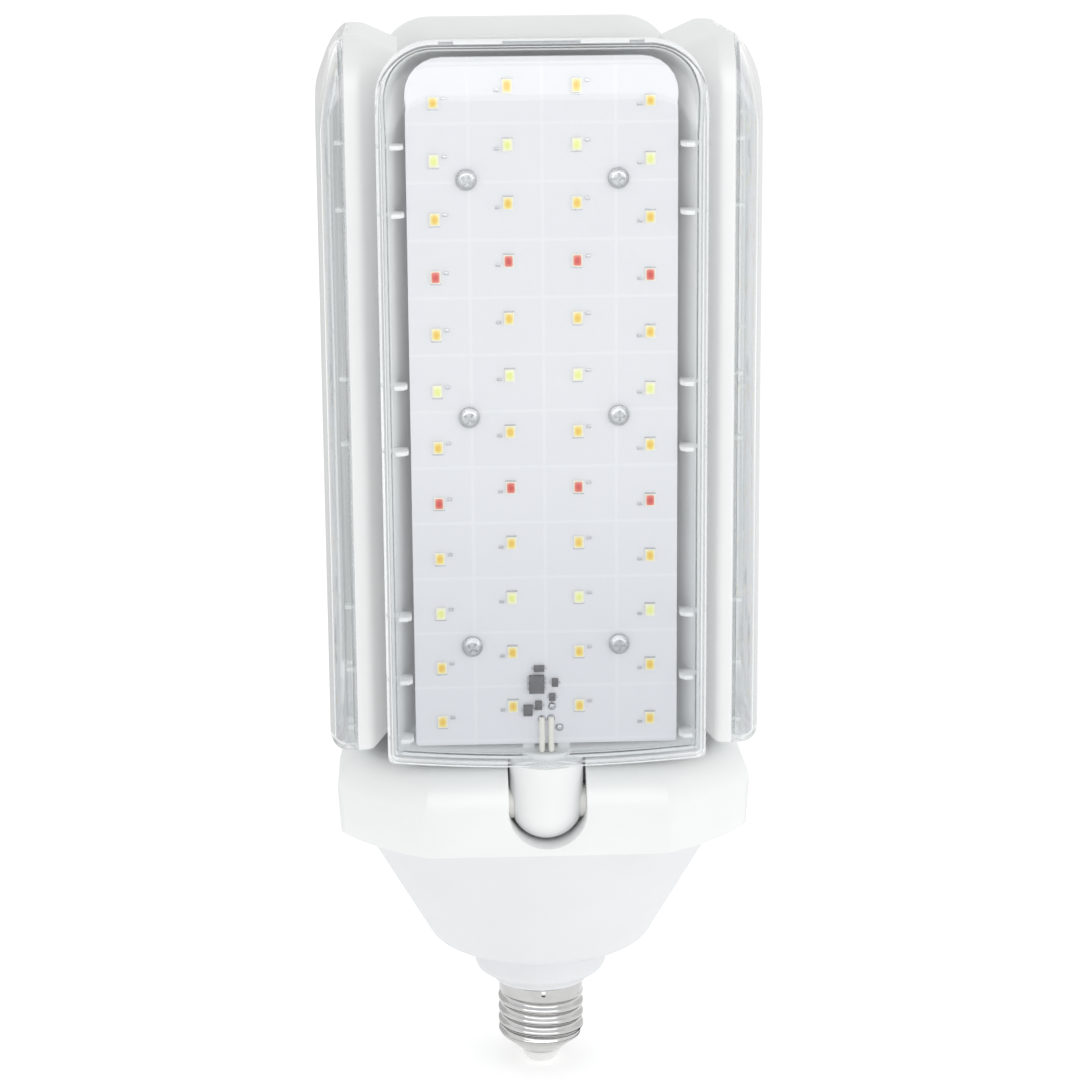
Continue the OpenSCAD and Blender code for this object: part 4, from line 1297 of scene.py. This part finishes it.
@dataclass
class ScrewCap:
    """The metal cap with its rolled thread, the plug below it and the contact.

    Attributes:
        radius: The thread's outer radius.
        depth: The thread's depth.
        pitch: The thread's pitch.
        turns: Number of turns.
        band: Height of the plain band.
        metal: Thickness of the metal.
        tip_r: Radius where the metal ends.
        tip_z: Height where it ends.
        length: Length of the whole cap.
        foot: Height from the thread's end to the cone below it.
    """

    dresser: Dresser
    radius: float = 13.15
    depth: float = 1.05
    pitch: float = 3.63
    turns: int = 4
    band: float = 4.0
    metal: float = 0.4
    tip_r: float = 6.1
    tip_z: float = -23.8
    length: float = 27.6
    foot: float = 0.25

    def thread_r(self, z: float, angle: float) -> float:
        """Radius of the rolled shell at a height and an angle.

        Args:
            z: Height below the rim, negative.
            angle: Angle about the axis, 0 at the front.

        Returns:
            The radius.
        """
        root = self.radius - self.depth
        start, end = -self.band + 0.6, -self.band - self.turns * self.pitch
        wave = 0.5 + 0.5 * math.cos(math.tau * ((z + self.band) / self.pitch + angle / math.tau))
        wave = 0.5 + 0.5 * math.tanh(2.2 * (wave - 0.45)) / math.tanh(1.1)
        fade_in = min(max((start - z) / 1.6, 0.0), 1.0)
        fade_out = min(max((z - end) / 1.4, 0.0), 1.0)
        band_r = self.radius - 0.25
        r = band_r + (root + self.depth * wave - band_r) * fade_in
        return root + (r - root) * fade_out

    def shell(self) -> bpy.types.Mesh:
        """The thin metal shell, with a rolled rim, a helical thread and a small stud."""
        turns = [math.tau * k / 160 for k in range(160)]
        low = -self.band - self.turns * self.pitch
        root, cone, tip = self.radius - self.depth, low - self.foot, self.tip_z
        lip_h, stud_h, stud_x, stud_z = 0.22, 0.5, 0.3, -1.7
        rings: list[Ring] = []
        for z in (-0.1 * k for k in range(int(-low * 10))):
            ring = []
            for a in turns:
                along = (a if a < math.pi else a - math.tau) * self.radius
                away = math.hypot(along - stud_x, z - stud_z)
                r = self.thread_r(z, a) + lip_h * math.exp(-(((z + 0.15) / 0.35) ** 2))
                r += stud_h * math.exp(-((away / 0.7) ** 2))
                ring.append((r * math.sin(a), -r * math.cos(a), z))
            rings.append(ring)
        end = rounded([(root, low), (root, cone), (self.tip_r, tip), (self.tip_r - 0.4, tip)],
                      (0, 0.8, 0.25, 0), 4)
        inner_r = root - self.metal
        inner = [(self.tip_r - 0.4, tip + 0.45), (inner_r, cone + 0.1), (inner_r, 0.0)]
        rings += [
            [(r * math.sin(a), -r * math.cos(a), z) for a in turns] for r, z in [*end[1:], *inner]
        ]
        return skin("cap shell", [*rings, rings[0]], (False, False), 60)

    def build(self) -> None:
        """Builds the cap's pieces."""
        place = self.dresser.place
        place("cap_shell", self.shell(), NICKEL, "hub", "cap_metal", ["screw_shell"])
        low = -self.band - self.turns * self.pitch
        inside = self.radius - self.depth - self.metal - 0.1
        edge, base = self.tip_z, 0.25 - self.length
        plug = rounded(
            [(0.9, low + 2.4), (inside, low + 2.4), (inside, low - 0.2), (5.6, edge + 0.4),
             (5.6, edge - 0.02), (6.05, edge - 0.02), (5.9, edge - 0.7), (4.9, base + 0.8),
             (4.0, base), (0.9, base)],
            (0, 0.4, 0.4, 0.1, 0, 0.1, 0.6, 1.0, 0.6, 0), 6,
        )
        plug = [*plug, plug[0]]
        place("cap_plug", lathe("plug", plug, 96), OPAL, "hub", "insulator", ["cap_insulator"])
        tip = rounded(
            [(0, -self.length), (1.6, -self.length), (2.4, 0.3 - self.length), (2.4, 0.6 - self.length),
             (0, 0.6 - self.length)],
            (0, 0.6, 0.3, 0, 0), 5,
        )
        place("tip_contact", lathe("tip", tip, 48), BRASS, "hub", "brass", ["centre_contact"])


@dataclass
class Hub:
    """The cone, the collar and what they hold.

    Attributes:
        top_r: Radius of the cone at the collar.
        top_z: Height of that joint.
        steep: Rise of the cone's wall for each millimetre of radius.
        bend_at_r: Radius where the wall bends in to the underside.
        bend_r: Radius of that bend.
        wall: The cone's wall.
        neck_r: Radius of the neck ring.
        neck_top_z: Height where the neck ring meets the underside.
    """

    dresser: Dresser
    top_r: float = 58.0
    top_z: float = 59.3
    steep: float = 1.73
    bend_at_r: float = 32.9
    bend_r: float = 6.0
    wall: float = 2.2
    neck_r: float = 20.0
    neck_top_z: float = 11.3

    def cone(self) -> None:
        """The cone housing, turned from its profile."""
        plug, lip = 12.65, 14.4
        outer = rounded(
            [(9.5, -3.5), (plug, -3.5), (plug, 0.02), (lip, 0.02), (lip, 1.1), (15.3, 1.5),
             (17.6, 2.9), (19.4, 4.2), (self.neck_r, 5.7), (self.neck_r, self.neck_top_z),
             (self.bend_at_r, self.top_z - (self.top_r - self.bend_at_r) * self.steep),
             (self.top_r, self.top_z), (self.top_r - 2.5, self.top_z)],
            (0, 0.3, 0, 0.3, 0.3, 0.3, 1.5, 1.5, 1.0, 0.3, self.bend_r, 0.25, 0), 10,
        )
        slant = self.wall * math.sqrt(1 + 1 / self.steep**2)
        inner = [
            (self.top_r - slant, self.top_z - 0.3), (self.bend_at_r - 1.6, 17.4),
            (self.neck_r - 5, self.neck_top_z + 2.0), (self.neck_r - 5, 6.0), (9.5, 1.5),
        ]
        line = [*outer, *inner, outer[0]]
        self.dresser.place("cone_moulding", lathe("cone", line, 160), CONE_PBT, "hub",
                           "cone_plastic", ["cone_housing"])

    def collar(self) -> None:
        """Both collar halves, their edges softened."""
        for half in ("lower", "upper"):
            mesh = softened(f"{half} collar", f"{half}_collar", 0.45)
            self.dresser.place(f"{half}_collar_moulding", mesh, WHITE_ABS, "hub",
                               "white_plastic", [f"{half}_collar"])

    def build(self) -> None:
        """Builds the hub and dresses what stays of the CAD inside it."""
        self.cone()
        self.collar()
        dress = self.dresser.finish_nodes
        dress(ZINC, "collar_screws", "hinge_pins", *[f"{s.word}_arm_screws" for s in Side])
        dress(CREAM, "hub_leads", *[f"{s.word}_leads" for s in Side])
        dress(NYLON, "friction_washers", "terminal_block")
        dress(GREEN_MASK, "junction_board")
        dress(CEMENT, "fuse_resistor")
        dress(RED_PVC, "live_wire")
        dress(BLUE_PVC, "neutral_wire")


# ---------------------------------------------------------------- studio


@dataclass
class Studio:
    """The floor, the lights and the camera.

    Attributes:
        focal_px: Focal length in pixels of the photograph.
        frame_px: Side of its square frame.
        distance: The camera's distance from the lamp's axis.
        height: Its height over the origin.
        aside: Its place beside the axis.
        pitch: How far it looks down, in radians.
        roll: Its roll, in radians.
        yaw: The lamp's turn in the camera's eyes, in radians.
        floor_z: Height of the floor.
        floor_size: Half the floor's side.
    """

    focal_px: float = 2936.0
    frame_px: float = 1080.0
    distance: float = 850.0
    height: float = 342.0
    aside: float = 0.9
    pitch: float = 0.236
    roll: float = 0.008
    yaw: float = 0.044
    floor_z: float = -27.6
    floor_size: float = 15000.0

    def camera(self) -> None:
        """Sets the camera at the photograph's angle."""
        data = bpy.data.cameras.new("camera")
        data.sensor_width = 36.0
        data.lens = 36.0 * self.focal_px / self.frame_px
        data.clip_end = 50.0
        thing = as_object("camera", data)
        turn = Matrix.Rotation(-self.yaw, 4, "Z")
        spot = Matrix.Translation(Vector((self.aside, -self.distance, self.height)) * MM)
        look = Matrix.Rotation(math.pi / 2 - self.pitch, 4, "X")
        roll = Matrix.Rotation(-self.roll, 4, "Z")
        thing.matrix_world = turn @ spot @ look @ roll
        bpy.context.scene.camera = thing

    def floor(self) -> None:
        """A pale floor that reads as white and keeps the lamp's shadow."""
        corners = ((-1, -1), (1, -1), (1, 1), (-1, 1))
        mesh = mesh_from(
            "floor", [(x * self.floor_size, y * self.floor_size, self.floor_z) for x, y in corners],
            [(0, 1, 2, 3)],
        )
        material, add = new_material("pale paper floor")
        place = add("ShaderNodeTexCoord")["Object"]
        away = add("ShaderNodeVectorMath", {0: place}, operation="LENGTH")["Value"]
        # A light table, which keeps a soft shadow near the lamp.
        own = add("ShaderNodeMapRange", {
            "Value": away, "From Min": 0.25, "From Max": 1.4, "To Min": 0.35, "To Max": 0.4,
        })["Result"]
        glow = add("ShaderNodeEmission", {"Strength": own})[0]
        paper = add("ShaderNodeBsdfDiffuse", {"Color": linear("#EDEDED")})[0]
        both = add("ShaderNodeAddShader", {0: paper, 1: glow})[0]
        add("ShaderNodeOutputMaterial", {"Surface": both})
        mesh.materials.append(material)
        as_object("floor", mesh)

    def world(self) -> None:
        """White where it is seen, softer where it lights."""
        world = bpy.data.worlds.new("studio")
        world.use_nodes = True
        world.node_tree.nodes.clear()
        add = partial(add_node, world.node_tree)
        rays = add("ShaderNodeLightPath")
        seen = rays["Is Camera Ray"]
        for ray in ("Is Glossy Ray", "Is Transmission Ray"):
            seen = add("ShaderNodeMath", {0: seen, 1: rays[ray]}, operation="ADD", use_clamp=True)[0]
        strength = add("ShaderNodeMapRange", {
            "Value": seen, "To Min": 0.83, "To Max": 1.0,
        })["Result"]
        sky = add("ShaderNodeBackground", {"Color": (1, 1, 1, 1), "Strength": strength})[0]
        add("ShaderNodeOutputWorld", {"Surface": sky})
        bpy.context.scene.world = world

    def lamp(self, name: str, spot: Sequence[float], size: Point, watts: float) -> None:
        """Adds one soft lamp that looks at the middle of the object.

        Args:
            name: The lamp's name.
            spot: Its place in metres.
            size: Its width and height in metres.
            watts: Its power.
        """
        data = bpy.data.lights.new(name, "AREA")
        data.shape = "RECTANGLE"
        data.size, data.size_y = size
        data.energy = watts
        thing = as_object(name, data)
        thing.location = spot
        thing.visible_glossy = False
        aim = Vector((0, 0, 0.13)) - Vector(spot)
        thing.rotation_euler = aim.to_track_quat("-Z", "Y").to_euler()

    def upright(self, spot: Sequence[float], size: Point) -> bpy.types.Mesh:
        """A flat card that stands and faces the lamp's axis.

        Args:
            spot: Its middle in millimetres.
            size: Its width and height in millimetres.

        Returns:
            The card's mesh.
        """
        x, y, z = spot
        far = math.hypot(x, y)
        w, h = size[0] / 2, size[1] / 2
        verts = [
            (x - a * y / far, y + a * x / far, z + b)
            for a, b in ((-w, -h), (w, -h), (w, h), (-w, h))
        ]
        return mesh_from("card", verts, [(0, 1, 2, 3)])

    def card(self, name: str, mesh: bpy.types.Mesh, colour: str, glow: float = 0.0) -> None:
        """Adds a card that only shows in shiny surfaces and through clear ones.

        Args:
            name: The card's name.
            mesh: Its mesh, where it stands.
            colour: Its colour.
            glow: Strength of its own light.
        """
        material, add = new_material(f"{name} cloth")
        feeds: dict[str | int, Any] = {"Color": linear(colour)}
        if glow > 0:
            cloth = add("ShaderNodeEmission", {**feeds, "Strength": glow})[0]
        else:
            cloth = add("ShaderNodeBsdfDiffuse", feeds)[0]
        add("ShaderNodeOutputMaterial", {"Surface": cloth})
        mesh.materials.append(material)
        thing = as_object(name, mesh)
        thing.visible_camera = thing.visible_diffuse = thing.visible_shadow = False

    def build(self) -> None:
        """Sets up the studio."""
        scene = bpy.context.scene
        scene.view_settings.view_transform = "Standard"
        self.camera()
        self.floor()
        self.world()
        self.lamp("key", (1.3, -1.1, 0.75), (1.1, 1.1), 2.8)
        # The metal mirrors a bright wall above the camera and a dark ring on the floor.
        self.card("glint", self.upright((0, -1600, 1100), (3600, 1700)), "#FFFFFF", 2.4)
        low = self.floor_z + 0.2
        ring = [(20, low), (32, low), (32, low + 0.1), (20, low + 0.1), (20, low)]
        self.card("foot_flag", lathe("foot flag", ring, 48), "#404042")
        # Grey screens behind the side panels draw their clear walls and the metal's edges.
        self.card("left_screen", self.upright((-165, 200, 155), (280, 360)), "#FFFFFF", 0.7)
        self.card("right_screen", self.upright((165, 200, 155), (280, 360)), "#FFFFFF", 0.84)


def main() -> None:
    """Builds the studio, the hub and the four panels, in that order."""
    logging.basicConfig(level=logging.INFO, format="%(name)s: %(message)s")
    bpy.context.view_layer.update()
    dresser = Dresser(Finishes())
    Studio().build()
    ScrewCap(dresser).build()
    Hub(dresser).build()
    Panel(dresser, Ladder()).build()


if __name__ == "__main__":
    main()
